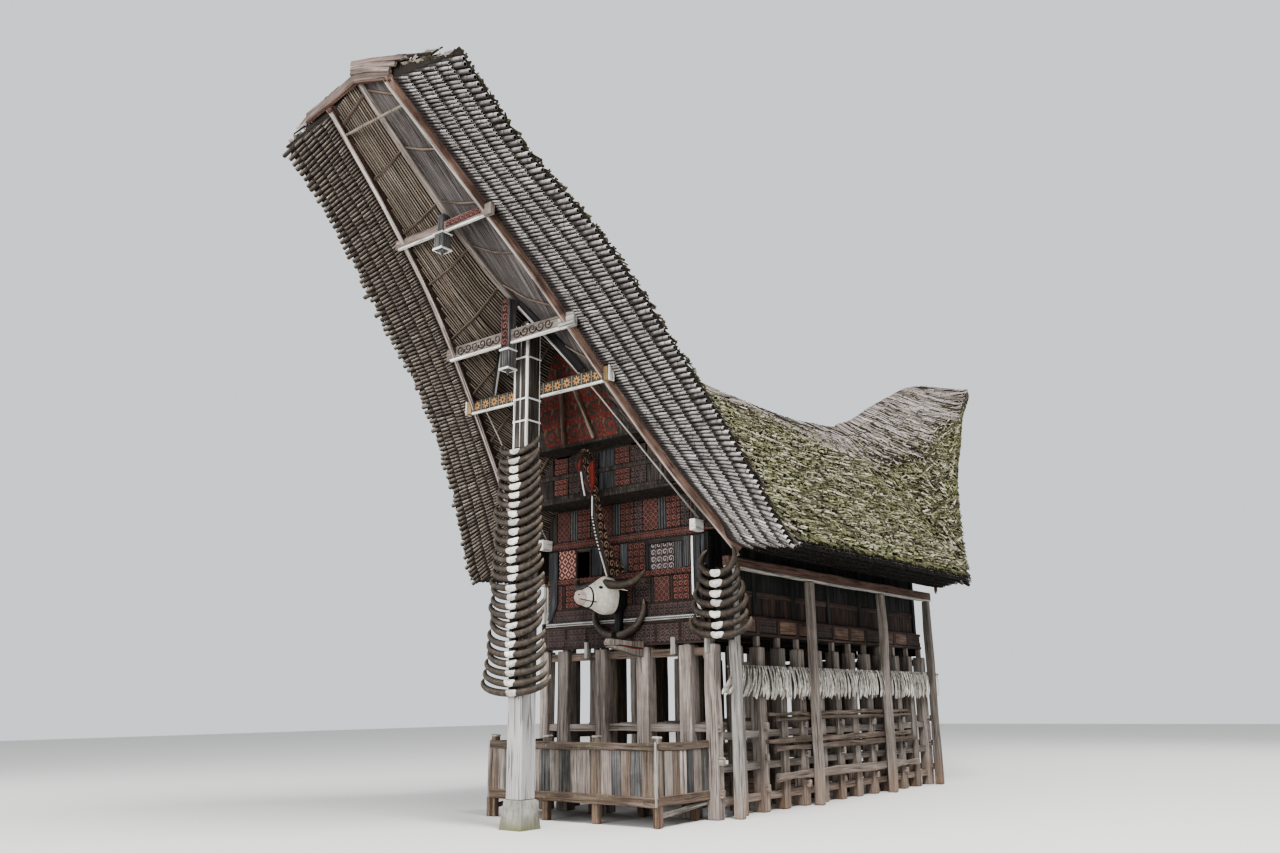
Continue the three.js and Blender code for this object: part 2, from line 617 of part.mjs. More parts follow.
function hornStack({ x, face, depth, z0, z1, count, spans, lift }) {
  const pitch = (z1 - z0) / count;
  const pairs = Array.from({ length: count }, (_, k) => {
    const span = spans[0] + ((spans[1] - spans[0]) * k) / (count - 1);
    return hornPair(x, face - depth + 35, z0 + pitch * (k + 0.4), span, lift);
  });
  const plates = box(x - 75, x + 75, face - depth, face - GAP, z0, z1);
  return join([plates, ...pairs]);
}

const postFace = POST_Y - POST_SIZE / 2;
part("front_post_horns", hornStack({
  x: 0, face: postFace, depth: 110, z0: 1820, z1: 5560, count: 27, spans: [1150, 760], lift: 230,
}), horn);
part("right_post_horns", hornStack({
  x: EAVE_POST_X, face: EAVE_POSTS_Y[0] - EAVE_POST_SIZE / 2, depth: 420, z0: 2660, z1: 3770, count: 9,
  spans: [1060, 780], lift: 230,
}), horn);

// Buffalo head on the front wall with two pairs of horns, and the carved neck board above it
function buffaloHead() {
  const wall = -FACADE_Y - GAP;
  const rings = [
    [wall, 3420, 110, 210], [wall - 160, 3430, 150, 270], [wall - 340, 3440, 180, 310], [wall - 560, 3420, 180, 305],
    [wall - 790, 3390, 140, 225], [wall - 1000, 3365, 105, 145], [wall - 1150, 3370, 90, 105],
    [wall - 1190, 3370, 55, 65],
  ];
  const head = loft(rings.map(([y, z, halfWidth, halfHeight]) => Array.from({ length: 8 }, (_, k) => {
    const angle = (2 * Math.PI * (k + 0.5)) / 8;
    return point(Math.cos(angle) * halfWidth, y, z + Math.sin(angle) * halfHeight);
  })));
  const upper = hornPair(0, wall - 460, 3600, 1420, 130);
  const lower = hornPair(0, wall - 150, 2790, 1060, 430);
  const skull = box(-60, 60, wall - 170, wall - 65 - GAP, 2740, 3420);
  return join([head, upper, lower, skull]);
}

function neckBoard() {
  const wall = -FACADE_Y - GAP;
  const outline = [[wall, 3860], [wall - 180, 3790], [wall - 370, 3740], [wall - 450, 4010], [wall - 630, 4370],
    [wall - 730, 4730], [wall - 760, 5010], [wall - 860, 5160], [wall - 1050, 5480], [wall - 1100, 5760],
    [wall - 980, 5880], [wall - 860, 5760], [wall - 780, 5560], [wall - 690, 5370], [wall - 660, 5050],
    [wall - 560, 4750], [wall - 420, 4390], [wall - 290, 4120], [wall - 170, 3990], [wall, 3960]];
  const ledge = box(-50, 50, -4720 - GAP, wall, 5075 - GAP, 5130 + GAP);
  return cut(prismX(outline, -35, 35), [ledge]);
}

part("buffalo_head", buffaloHead(), bone);
part("neck_board", neckBoard(), carvedTimber);

// Low deck in front of the room, with a boarded parapet on three sides
function deckParapet() {
  const { halfWidth, front, back, railTop, bottom } = DECK;
  const postX = [-halfWidth + 55, -500, 500, halfWidth - 55];
  const posts = postX.map((x) => postAt(x, front + 60, 110, 0, railTop + 95));
  const boards = [
    box(-halfWidth, halfWidth, front, front + 30, bottom, railTop),
    box(-halfWidth, -halfWidth + 30, front, back, bottom, railTop),
    box(halfWidth - 30, halfWidth, front, back, bottom, railTop),
  ];
  const rails = [[bottom - 5, bottom + 155], [railTop - 130, railTop + 5]].flatMap(([z0, z1]) => [
    box(-halfWidth - 12, halfWidth + 12, front - 12, front + 50, z0, z1),
    box(-halfWidth - 12, -halfWidth + 50, front - 12, back, z0, z1),
    box(halfWidth - 50, halfWidth + 12, front - 12, back, z0, z1),
  ]);
  return join([...posts, ...boards, ...rails]);
}

function deckFloor() {
  const { halfWidth, front, back, floor } = DECK;
  const inner = halfWidth - 50 - GAP;
  const slab = box(-inner, inner, front + 116, back, floor - 40, floor);
  const joists = [front + 200, back - 120].map((y) => box(-inner, inner, y - 50, y + 50, floor - 160, floor - 35));
  const legs = [-1, 1].flatMap((side) => [500, 1500].map((x) => postAt(side * x, back - 120, 110, 0, floor - 150)));
  return join([slab, ...joists, ...legs]);
}

part("deck_parapet", deckParapet(), brownTimber);
part("deck_floor", deckFloor(), brownTimber);

// Pole behind the right eave posts with a row of jawbones hanging from it
function jawboneRack() {
  const x = EAVE_POST_X - EAVE_POST_SIZE / 2 - 22 - GAP;
  const pole = bar([point(x, -3850, 2250), point(x, 4650, 2250)], [25, 25], 6);
  const row = box(x - 22, x + 22, -3620, 4550, 1760, 2240);
  return join([pole, row]);
}

part("jawbone_rack", jawboneRack(), bone);

export default group;
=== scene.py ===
import math

import bpy
import numpy as np
from mathutils import Matrix, Vector


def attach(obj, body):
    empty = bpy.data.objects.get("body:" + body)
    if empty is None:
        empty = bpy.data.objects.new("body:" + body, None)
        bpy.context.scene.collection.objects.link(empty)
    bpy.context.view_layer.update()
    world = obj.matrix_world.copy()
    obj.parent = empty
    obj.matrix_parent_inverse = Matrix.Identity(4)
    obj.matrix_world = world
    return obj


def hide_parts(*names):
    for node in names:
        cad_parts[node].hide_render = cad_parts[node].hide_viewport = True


# Tongkonan house, the visual model. Metres, +Z up; the front faces -Y.
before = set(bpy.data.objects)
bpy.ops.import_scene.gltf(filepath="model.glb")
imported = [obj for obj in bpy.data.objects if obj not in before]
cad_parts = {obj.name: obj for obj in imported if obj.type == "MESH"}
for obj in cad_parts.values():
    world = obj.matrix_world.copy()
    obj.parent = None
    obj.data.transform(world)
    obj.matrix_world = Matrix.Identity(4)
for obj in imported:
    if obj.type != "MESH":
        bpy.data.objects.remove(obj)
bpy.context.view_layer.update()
rng = np.random.default_rng(11)

FULL_TURN = 6.2832
UP = np.array([0.0, 0.0, 1.0])
ACROSS = np.array([1.0, 0.0, 0.0])
FRONT = -1
REAR = 1
SIDES = ((1, "right"), (-1, "left"))

# Camera of the photograph
CAMERA = {"place": (10.906, -17.852, 1.7), "yaw": 0.6518, "pitch": 0.2631, "roll": -0.0126, "lens": 28.98}

# Piles and ties
HALF_LENGTH = 4.05
CROSS_ROWS = 7
INNER_PILE_X = [-1.29, -0.435, 0.435, 1.29]
PILE_SIZE = 0.24
SIDE_PILE_X = 1.735
SIDE_PILE_SIZE = 0.2
SIDE_PILES = 13
PILE_TOP = 2.6
TIE_LEVELS = [0.3, 0.78, 1.27]
TIE_HEIGHT = 0.12
TIE_WIDTH = 0.09
RAIL_HEIGHTS = [0.18, 0.24, 0.16]
FLOOR_FRAME_BOTTOM = 2.78
FLOOR_BOTTOM = 3.0
FLOOR_TOP = 3.05
FLOOR_HALF_WIDTH = 1.76
FLOOR_END = 4.16
ROOM_X = (-1.7, 1.7)
FACADE_Y = 4.1
FACADE_TOP = 4.45
SIDE_WALL_TOP = 4.38
PLATE_TOP = 4.56
EAVE_POST_X = 1.99
EAVE_POSTS_Y = [-3.78, -1.21, 1.76, 4.07]
EAVE_POST_SIZE = 0.145
EAVE_BEAM_Z = (3.79, 3.98)
WINDOW_Z = (3.81, 4.29)
TRIM_STEPS = 12

# Chamfer and unevenness of worn rails, planed boards, slats and painted strips
ROUGH = (0.01, 0.004)
FINE = (0.004, 0.001)
SLAT = (0.003, 0.001)
STRIP_EDGE = (0.002, 0.0005)
# About the distance between a timber's rings, and how far apart two bars may lie in the wood
TIMBER_STEP = 0.6
GRAIN_SPREAD = 60

# Roof curves at seven stations of a prow, counted from the room to the tip: x, distance from mid-length, z
RIDGE = np.array([(0, 4.0, 8.04), (0, 4.38, 8.17), (0, 5.18, 8.46), (0, 6.24, 8.99), (0, 7.5, 9.57),
                  (0, 8.75, 10.12), (0, 10.04, 10.5)])
APEX = np.array([(0, 4.0, 7.42), (0, 4.38, 7.44), (0, 5.18, 7.56), (0, 6.24, 7.76), (0, 7.5, 8.37),
                 (0, 8.75, 9.3), (0, 10.04, 10.34)])
BOARD = np.array([(2.24, 4.0, 4.06), (2.08, 4.38, 4.47), (1.74, 5.18, 5.33), (1.39, 6.24, 6.52),
                  (1.045, 7.5, 7.91), (0.79, 8.75, 9.045), (0.594, 9.97, 10.065)])
DRIP = np.array([(3.43, 4.0, 4.0), (3.4, 4.38, 4.01), (3.06, 5.18, 5.31), (2.68, 6.24, 6.72),
                 (2.437, 7.5, 7.965), (2.06, 8.75, 9.0), (1.937, 9.89, 9.96)])
LAST = len(RIDGE) - 1
BODY_RIDGE = np.array([(0, -2.0, 7.81), (0, 0.0, 7.78), (0, 2.0, 7.81)])
BODY_APEX = np.array([(0, -2.0, 7.35), (0, 0.0, 7.33), (0, 2.0, 7.35)])
BODY_INNER = (2.24, 4.02)
REAR_WING_RATIO = 0.6
REAR_EAVE_RISE = 0.2
TILE_EDGE = 0.065
ROOF_COURSES = 7
COURSE_RISE = 0.05
ROOF_SAG = 0.06
LINING_SAG = 0.2
BARGE_WIDTH = 0.07
LAYERS = 5
LAYER_RISE = 0.07
LAYER_PITCH = [0.05, 0.06, 0.064, 0.068, 0.092]
LAYER_FILL = 0.78
# Painted light on the culms: highlight towards the light, shade away from it, near the root and in the
# hollow
HIGHLIGHT_TONE = 0.5
AWAY_SHADE = 0.2
SHADED = 0.22
REED_PITCH = 0.042
CULM_HOLLOW = 0.04
BATTEN_PITCH = 0.53
SHARD_COURSE = 0.115
SHARD_PITCH = 0.052
SHARD_REACH = 0.97
FRINGE_PITCH = 0.026
FIRST_ROW_TONE = 0.25
# Strips along the ridge: how far down the slope they reach, and how many degrees they turn from the ridge
STRIP_REACH = ([0, 5, 6.4, 7.6, 8.5, 9.5, 10.5, 12, 16], [1.2, 1.2, 0.3, 0.3, 0.5, 0.85, 1.15, 1.5, 1.5])
STRIP_TURN = ([0, 1.5, 2.5, 4, 8], [10, 26, 42, 58, 62])
STRIP_LIFT = 0.065
STRIP_ROWS = 0.07
STRIP_PITCH = 0.17

# Beams across the front prow: half length, range in y, range in z
LOWER_BEAM = (1.54, (-6.345, -6.24), (6.45, 6.65))
MIDDLE_BEAM = (1.39, (-6.978, -6.9), (7.19, 7.4))
UPPER_BEAM = (1.05, (-8.408, -8.33), (8.56, 8.72))
TIP_POLE = {"half": 0.635, "y": -9.735, "z": 9.8, "rings": 9}

# Front post, deck and ornaments: the horn columns are (lowest z, highest z, pairs of horns)
FRONT_HORNS = (1.82, 5.56, 27)
RIGHT_HORNS = (2.66, 3.77, 7)
POST_Y = -6.5
POST_SIZE = 0.3
POST_BASE_TOP = 0.4
POST_TOP = 7.64
JAW_PITCH = 0.056
DECK = {"half": 1.69, "front": -5.48, "back": -4.17, "top": 1.15, "bottom": 0.29, "floor": 0.45}


class Graph:
    """Shader nodes of one material. Each call adds a node and returns what comes out of it."""

    def __init__(self, name):
        self.material = bpy.data.materials.new(name)
        self.material.use_nodes = True
        tree = self.material.node_tree
        self.nodes, self.links = tree.nodes, tree.links
        self.nodes.clear()
        self.shader = self.nodes.new("ShaderNodeBsdfPrincipled")
        output = self.nodes.new("ShaderNodeOutputMaterial")
        self.links.new(self.shader.outputs[0], output.inputs[0])

    def feed(self, socket, value):
        if isinstance(value, bpy.types.NodeSocket):
            self.links.new(value, socket)
        elif isinstance(value, tuple) and socket.type == "RGBA":
            socket.default_value = (*value, 1.0)
        else:
            socket.default_value = value

    def attribute(self, name):
        node = self.nodes.new("ShaderNodeAttribute")
        node.attribute_name = name
        return node.outputs["Vector" if name == "grain" else "Fac"]

    def place(self):
        return self.nodes.new("ShaderNodeNewGeometry").outputs["Position"]

    def normal(self):
        return self.nodes.new("ShaderNodeNewGeometry").outputs["Normal"]

    def parts(self, vector):
        node = self.nodes.new("ShaderNodeSeparateXYZ")
        self.feed(node.inputs[0], vector)
        return node.outputs[0], node.outputs[1], node.outputs[2]

    def math(self, operation, a, b=0.0, clamp=False):
        node = self.nodes.new("ShaderNodeMath")
        node.operation = operation
        node.use_clamp = clamp
        self.feed(node.inputs[0], a)
        self.feed(node.inputs[1], b)
        return node.outputs[0]

    def plus(self, a, b, clamp=False):
        return self.math("ADD", a, b, clamp)

    def minus(self, a, b, clamp=False):
        return self.math("SUBTRACT", a, b, clamp)

    def times(self, a, b):
        return self.math("MULTIPLY", a, b)

    def length(self, x, y):
        return self.math("SQRT", self.plus(self.times(x, x), self.times(y, y)))

    def scaled(self, vector, scale):
        node = self.nodes.new("ShaderNodeVectorMath")
        node.operation = "MULTIPLY"
        self.feed(node.inputs[0], vector)
        self.feed(node.inputs[1], scale)
        return node.outputs[0]

    def noise(self, vector, scale, detail=4.0, roughness=0.55, distortion=0.0):
        node = self.nodes.new("ShaderNodeTexNoise")
        self.feed(node.inputs["Vector"], vector)
        node.inputs["Scale"].default_value = scale
        node.inputs["Detail"].default_value = detail
        node.inputs["Roughness"].default_value = roughness
        node.inputs["Distortion"].default_value = distortion
        return node.outputs["Fac"]

    def streaks(self, vector, scale, detail, roughness, distortion=0.0):
        """Noise that is drawn out by a scale for each axis."""
        return self.noise(self.scaled(vector, scale), 1.0, detail, roughness, distortion)

    def ramp(self, factor, *stops):
        """Colour ramp; a stop is (position, grey) or (position, (r, g, b))."""
        node = self.nodes.new("ShaderNodeValToRGB")
        self.feed(node.inputs[0], factor)
        band = node.color_ramp
        while len(band.elements) < len(stops):
            band.elements.new(0.5)
        for element, (position, value) in zip(band.elements, stops):
            element.position = position
            element.color = (*value, 1.0) if isinstance(value, tuple) else (value, value, value, 1.0)
        return node.outputs["Color"]

    def mix(self, factor, a, b, blend="MIX"):
        node = self.nodes.new("ShaderNodeMix")
        node.data_type = "RGBA"
        node.blend_type = blend
        self.feed(node.inputs[0], factor)
        self.feed(node.inputs[6], a)
        self.feed(node.inputs[7], b)
        return node.outputs[2]

    def bump(self, height, strength, distance):
        node = self.nodes.new("ShaderNodeBump")
        node.inputs["Strength"].default_value = strength
        node.inputs["Distance"].default_value = distance
        self.feed(node.inputs["Height"], height)
        return node.outputs[0]

    def finish(self, colour, roughness, normal=None, specular=0.3):
        self.feed(self.shader.inputs["Base Color"], colour)
        self.feed(self.shader.inputs["Roughness"], roughness)
        self.shader.inputs["Specular IOR Level"].default_value = specular
        if normal is not None:
            self.links.new(normal, self.shader.inputs["Normal"])
        return self.material


def timber(name, dark, middle, light, stain=0.4, moss=0.0, dust=0.0, streak=38.0, relief=0.006, paint=None):
    """Weathered sawn wood: fibres along the piece, dark checks, stains, moss on top, dust at the foot."""
    g = Graph(name)
    grain, tone, place = g.attribute("grain"), g.attribute("tone"), g.place()
    fibre = g.streaks(grain, (1.1, streak * 0.55, streak * 0.55), 5.0, 0.6, 0.35)
    fine = g.streaks(grain, (3.0, streak * 4, streak * 4), 3.0, 0.6)
    checks = g.streaks(grain, (1.4, streak * 1.5, streak * 1.5), 2.0, 0.5, 0.5)
    checks = g.ramp(checks, (0.0, 1.0), (0.36, 1.0), (0.43, 0.0))
    colour = g.ramp(g.mix(0.35, fibre, fine), (0.3, dark), (0.5, middle), (0.68, light))
    colour = g.mix(0.85, colour, g.ramp(tone, (0.0, 0.55), (0.5, 0.95), (1.0, 1.3)), "MULTIPLY")
    blotch = g.noise(place, 1.7, 4.0, 0.6, 0.4)
    colour = g.mix(g.times(g.ramp(blotch, (0.42, 0.0), (0.62, 1.0)), stain), colour, dark)
    runs = g.streaks(grain, (0.6, 10.0, 10.0), 3.0, 0.6, 0.3)
    colour = g.mix(g.times(g.ramp(runs, (0.5, 0.0), (0.66, 1.0)), 0.7 * stain), colour, dark)
    if paint:
        worn = g.streaks(grain, (2.0, 14.0, 14.0), 5.0, 0.65, 0.4)
        amount = g.ramp(worn, (0.36, 0.0), (0.5, 0.85))
        colour = g.mix(amount, colour, paint)
    colour = g.mix(g.times(checks, 0.75), colour, tuple(0.25 * c for c in dark))
    if moss:
        upward = g.parts(g.normal())[2]
        patches = g.ramp(g.noise(place, 5.0, 6.0, 0.7, 0.3), (0.45, 0.0), (0.66, 1.0))
        amount = g.times(patches, g.plus(g.times(upward, 0.6), 0.4, clamp=True))
        colour = g.mix(g.times(amount, moss), colour, (0.13, 0.15, 0.055))
        lichen = g.ramp(g.noise(place, 19.0, 4.0, 0.7), (0.6, 0.0), (0.7, 1.0))
        colour = g.mix(g.times(lichen, moss * 0.7), colour, (0.42, 0.43, 0.37))
    if dust:
        height = g.parts(place)[2]
        low = g.minus(1.0, g.times(height, 1.3), clamp=True)
        low = g.times(low, g.ramp(g.noise(place, 6.0, 5.0, 0.7), (0.35, 0.2), (0.65, 1.0)))
        colour = g.mix(g.times(low, dust), colour, (0.24, 0.13, 0.07))
    height = g.minus(g.mix(0.4, fibre, fine), g.times(checks, 0.9))
    return g.finish(colour, g.ramp(fibre, (0.3, 0.95), (0.7, 0.72)), g.bump(height, 0.8, relief), 0.25)


def bamboo(name, shades, cut=False):
    """Weathered bamboo: joints and streaks along each culm, lichen, and a pale ring where it is cut."""
    g = Graph(name)
    grain, tone, place = g.attribute("grain"), g.attribute("tone"), g.place()
    streaks = g.streaks(grain, (2.5, 60.0, 60.0), 4.0, 0.6)
    patches = g.noise(place, 9.0, 4.0, 0.65)
    colour = g.ramp(g.mix(0.3, tone, streaks), *zip((0.25, 0.42, 0.6, 0.8), shades))
    colour = g.mix(g.ramp(patches, (0.48, 0.0), (0.72, 0.5)), colour, shades[0])
    if cut:
        colour = g.mix(0.55, colour, (0.62, 0.6, 0.54))
        return g.finish(colour, 0.8, g.bump(streaks, 0.4, 0.003), 0.3)
    along = g.parts(grain)[0]
    joint = g.math("ABSOLUTE", g.minus(g.math("FRACT", g.times(along, 3.1)), 0.5))
    joint = g.ramp(joint, (0.0, 1.0), (0.022, 1.0), (0.04, 0.0))
    colour = g.mix(g.times(joint, 0.6), colour, tuple(0.4 * c for c in shades[0]))
    lichen = g.ramp(g.noise(place, 30.0, 4.0, 0.7), (0.6, 0.0), (0.74, 0.5))
    colour = g.mix(lichen, colour, shades[2])
    height = g.plus(g.times(streaks, 0.5), joint)
    return g.finish(colour, g.ramp(streaks, (0.3, 0.85), (0.7, 0.6)), g.bump(height, 0.6, 0.004), 0.35)


def thatch(name, shades, moss, hole_shade=0.0):
    """Split bamboo and leaf mould on the roof, with patches of moss and painted shade in holes
    between the pieces.
    """
    g = Graph(name)
    grain, tone, place = g.attribute("grain"), g.attribute("tone"), g.place()
    streaks = g.streaks(grain, (5.0, 120.0, 120.0), 4.0, 0.65)
    colour = g.ramp(g.mix(0.5, tone, streaks), *zip((0.2, 0.42, 0.6, 0.82), shades))
    patches = g.mix(0.35, g.noise(place, 1.3, 4.0, 0.65, 0.5), g.noise(place, 11.0, 4.0, 0.7))
    growth = g.ramp(patches, (0.4, 0.0), (0.56, 1.0))
    green = g.ramp(g.noise(place, 26.0, 4.0, 0.7), (0.35, (0.05, 0.056, 0.02)), (0.55, (0.18, 0.197, 0.08)),
                   (0.75, (0.36, 0.365, 0.2)))
    colour = g.mix(g.times(growth, moss), colour, green)
    # Painted shade in the holes between the pieces
    gap_shade = g.ramp(g.noise(place, 9.0, 3.0, 0.6, 0.6), (0.4, 1.0), (0.49, 0.0))
    colour = g.mix(g.times(gap_shade, hole_shade), colour, shades[0])
    lumps = g.noise(place, 60.0, 5.0, 0.7)
    return g.finish(colour, 0.92, g.bump(g.mix(0.5, streaks, lumps), 0.9, 0.008), 0.2)


def carving(name, pattern, ground, line, accent=None, wear=0.35):
    """Painted carving in three colours; accent colours what lies between the motifs.
    The grain attribute counts cells of the pattern; one cell is one motif."""
    g = Graph(name)
    grain, tone, place = g.attribute("grain"), g.attribute("tone"), g.place()
    u, v, _ = g.parts(grain)
    cell_x = g.minus(g.math("FRACT", u), 0.5)
    cell_y = g.minus(g.math("FRACT", v), 0.5)
    radius = g.length(cell_x, cell_y)
    angle = g.math("ARCTAN2", cell_y, cell_x)
    away_x, away_y = g.math("ABSOLUTE", cell_x), g.math("ABSOLUTE", cell_y)
    corner_x, corner_y = g.minus(0.5, away_x), g.minus(0.5, away_y)
    corner = g.length(corner_x, corner_y)

    def sharp(value, gain=5.0):
        return g.plus(g.times(value, gain), 0.5, clamp=True)

    def wave(value):
        return g.math("SINE", value)

    inside = sharp(g.minus(0.46, radius), 40.0)
    if pattern == "circles":
        rings = sharp(g.minus(wave(g.times(radius, 21.0)), 0.1), 3.0)
        petals = sharp(g.minus(wave(g.times(angle, 8.0)), 0.3), 3.0)
        within = sharp(g.minus(0.2, radius), 40.0)
        lines = g.mix(within, rings, petals)
        second = sharp(g.minus(wave(g.times(corner, 21.0)), 0.1), 3.0)
    elif pattern == "scroll":
        turn = g.plus(angle, g.times(radius, 17.0))
        lines = sharp(g.minus(wave(turn), 0.15), 3.0)
        back = g.minus(g.times(angle, 2.0), g.times(corner, 15.0))
        second = sharp(g.minus(wave(back), 0.5), 3.0)
    elif pattern == "fret":
        diamond = g.plus(away_x, away_y)
        lines = sharp(g.minus(wave(g.times(diamond, 12.57)), 0.4), 3.0)
        second = lines
    elif pattern == "flowers":
        petal = g.times(g.math("COSINE", g.times(angle, 8.0)), 0.1)
        lines = sharp(g.minus(g.plus(petal, 0.3), radius), 30.0)
        lines = g.times(lines, sharp(g.minus(radius, 0.12), 30.0))
        second = sharp(g.minus(away_x, 0.44), 30.0)
    elif pattern == "zigzag":
        slope = g.minus(g.math("FRACT", g.plus(v, away_x)), 0.5)
        lines = sharp(slope, 12.0)
        second = lines
        inside = 1.0
    else:
        lines = sharp(wave(g.times(u, FULL_TURN)), 4.0)
        second = lines
        inside = 1.0
    mask = g.mix(inside, second, lines)
    tint = g.mix(inside, accent or line, line)
    colour = g.mix(mask, ground, tint)
    dirt = g.noise(place, 7.0, 6.0, 0.7, 0.4)
    colour = g.mix(0.7, colour, g.ramp(dirt, (0.3, 0.45), (0.65, 1.15)), "MULTIPLY")
    colour = g.mix(0.6, colour, g.ramp(tone, (0.0, 0.6), (1.0, 1.2)), "MULTIPLY")
    fibres = g.streaks(place, (50.0, 50.0, 5.0), 4.0, 0.6)
    colour = g.mix(g.times(g.ramp(fibres, (0.5, 0.0), (0.66, 1.0)), wear), colour, (0.1, 0.085, 0.075))
    height = g.plus(g.times(mask, 0.7), g.times(fibres, 0.4))
    return g.finish(colour, 0.85, g.bump(height, 0.8, 0.012), 0.25)


def hornlike(name):
    """Buffalo horn: ridged and brown at the base, dark and smoother to a paler tip."""
    g = Graph(name)
    grain, tone, place = g.attribute("grain"), g.attribute("tone"), g.place()
    rings = g.streaks(grain, (55.0, 3.0, 3.0), 3.0, 0.5)
    streaks = g.streaks(grain, (3.0, 50.0, 50.0), 4.0, 0.6)
    colour = g.ramp(g.mix(0.12, tone, streaks), (0.05, (0.045, 0.033, 0.024)),
                    (0.45, (0.024, 0.018, 0.013)), (0.75, (0.06, 0.045, 0.032)),
                    (0.95, (0.26, 0.215, 0.165)))
    worn = g.noise(place, 14.0, 4.0, 0.6)
    colour = g.mix(g.ramp(worn, (0.48, 0.0), (0.72, 0.65)), colour, (0.1, 0.075, 0.052))
    colour = g.mix(g.ramp(rings, (0.35, 0.6), (0.5, 0.0)), colour, (0.012, 0.01, 0.008))
    height = g.plus(g.times(rings, 0.7), g.times(streaks, 0.3))
    return g.finish(colour, g.ramp(streaks, (0.3, 0.75), (0.7, 0.5)), g.bump(height, 0.7, 0.005), 0.4)


def bone(name, light, dark):
    """Bleached bone and whitewashed wood with cracks and grey stains."""
    g = Graph(name)
    grain, tone, place = g.attribute("grain"), g.attribute("tone"), g.place()
    soft = g.noise(place, 16.0, 5.0, 0.65, 0.3)
    lines = g.streaks(grain, (6.0, 70.0, 70.0), 3.0, 0.6)
    colour = g.mix(g.ramp(g.mix(0.4, soft, lines), (0.35, 0.0), (0.66, 1.0)), light, dark)
    colour = g.mix(0.8, colour, g.ramp(tone, (0.0, 0.4), (1.0, 1.1)), "MULTIPLY")
    return g.finish(colour, 0.78, g.bump(g.mix(0.5, soft, lines), 0.5, 0.004), 0.3)


def masonry(name):
    """Whitewashed concrete with pores, run-down stains and moss at the foot."""
    g = Graph(name)
    place = g.place()
    soft = g.noise(place, 4.0, 6.0, 0.7, 0.3)
    pores = g.noise(place, 70.0, 4.0, 0.6)
    runs = g.streaks(place, (22.0, 22.0, 2.0), 4.0, 0.6)
    colour = g.ramp(g.mix(0.4, soft, runs), (0.32, (0.09, 0.088, 0.075)), (0.5, (0.2, 0.195, 0.17)),
                    (0.7, (0.34, 0.335, 0.3)))
    height = g.parts(place)[2]
    low = g.minus(1.0, g.times(height, 5.5), clamp=True)
    low = g.times(low, g.ramp(soft, (0.35, 0.5), (0.6, 1.0)))
    colour = g.mix(low, colour, (0.11, 0.115, 0.05))
    return g.finish(colour, 0.95, g.bump(g.mix(0.6, soft, pores), 0.7, 0.006), 0.2)


# Looks. Timber: dark, middle and light shade, then stain, moss and dust. Carving: ground, line and accent.
GREY = timber("grey_timber", (0.055, 0.045, 0.038), (0.17, 0.15, 0.13), (0.31, 0.285, 0.255),
              0.35, 0.2, 0.7)
PALE = timber("pale_timber", (0.12, 0.11, 0.1), (0.3, 0.285, 0.265), (0.46, 0.445, 0.42), 0.3, 0.2, 0.5)
WARM = timber("warm_timber", (0.07, 0.056, 0.048), (0.2, 0.172, 0.152), (0.34, 0.305, 0.28), 0.3, 0.15, 0.5)
SMOOTH = timber("smooth_post", (0.25, 0.243, 0.235), (0.32, 0.31, 0.3), (0.38, 0.37, 0.36),
                0.08, 0.05, 0.1, 26, 0.002)
BROWN = timber("brown_timber", (0.035, 0.024, 0.018), (0.12, 0.09, 0.071), (0.23, 0.186, 0.156),
               0.4, 0.2, 0.3)
RUSTY = timber("rusty_timber", (0.034, 0.024, 0.019), (0.112, 0.081, 0.065), (0.23, 0.186, 0.158),
               0.45, 0.3, 0.2)
BEIGE = timber("beige_timber", (0.05, 0.042, 0.035), (0.19, 0.166, 0.146), (0.34, 0.31, 0.28), 0.6, 0.1)
DARK = timber("dark_timber", (0.01, 0.008, 0.007), (0.035, 0.028, 0.024), (0.085, 0.07, 0.06), 0.4)
BLUISH = timber("bluish_timber", (0.01, 0.01, 0.011), (0.034, 0.035, 0.037), (0.085, 0.088, 0.092), 0.4)
REDDISH = timber("reddish_timber", (0.03, 0.016, 0.012), (0.09, 0.053, 0.041), (0.16, 0.106, 0.086), 0.35)
ORANGE = timber("orange_timber", (0.045, 0.026, 0.02), (0.22, 0.138, 0.106), (0.36, 0.26, 0.215), 0.75, 0.1)
PINK = timber("pinkish_timber", (0.075, 0.06, 0.052), (0.215, 0.18, 0.162), (0.36, 0.32, 0.295), 0.4, 0.2)
BRIGHT_RED = timber("red_tongue", (0.1, 0.02, 0.015), (0.2, 0.035, 0.025), (0.26, 0.06, 0.045), 0.1)
WHITE_PAINT = timber("white_paint", (0.2, 0.19, 0.17), (0.45, 0.44, 0.41), (0.6, 0.59, 0.56),
                     0.15, relief=0.003, paint=(0.7, 0.69, 0.65))
REED = timber("reed_lining", (0.045, 0.035, 0.027), (0.165, 0.135, 0.106), (0.29, 0.252, 0.208),
              0.25, streak=60.0)
# Lining painted dark for shade
REED_SHADED = timber("shaded_lining", (0.03, 0.025, 0.024), (0.09, 0.079, 0.075), (0.16, 0.145, 0.14),
                   0.3, streak=60.0)
CULM = bamboo("weathered_bamboo",
              ((0.022, 0.018, 0.017), (0.085, 0.073, 0.068), (0.25, 0.235, 0.225), (0.62, 0.61, 0.59)))
CULM_WARM = bamboo("brown_bamboo",
                   ((0.018, 0.013, 0.01), (0.06, 0.046, 0.035), (0.16, 0.136, 0.109), (0.52, 0.48, 0.41)))
# Bamboo painted dark for the shade under the eaves
CULM_IN_SHADE = bamboo("shaded_bamboo",
                   ((0.007, 0.006, 0.005), (0.024, 0.02, 0.016), (0.06, 0.052, 0.043),
                    (0.14, 0.125, 0.106)))
CULM_END = bamboo("bamboo_cut_end",
                  ((0.2, 0.185, 0.16), (0.4, 0.38, 0.34), (0.6, 0.58, 0.54), (0.72, 0.7, 0.66)), True)
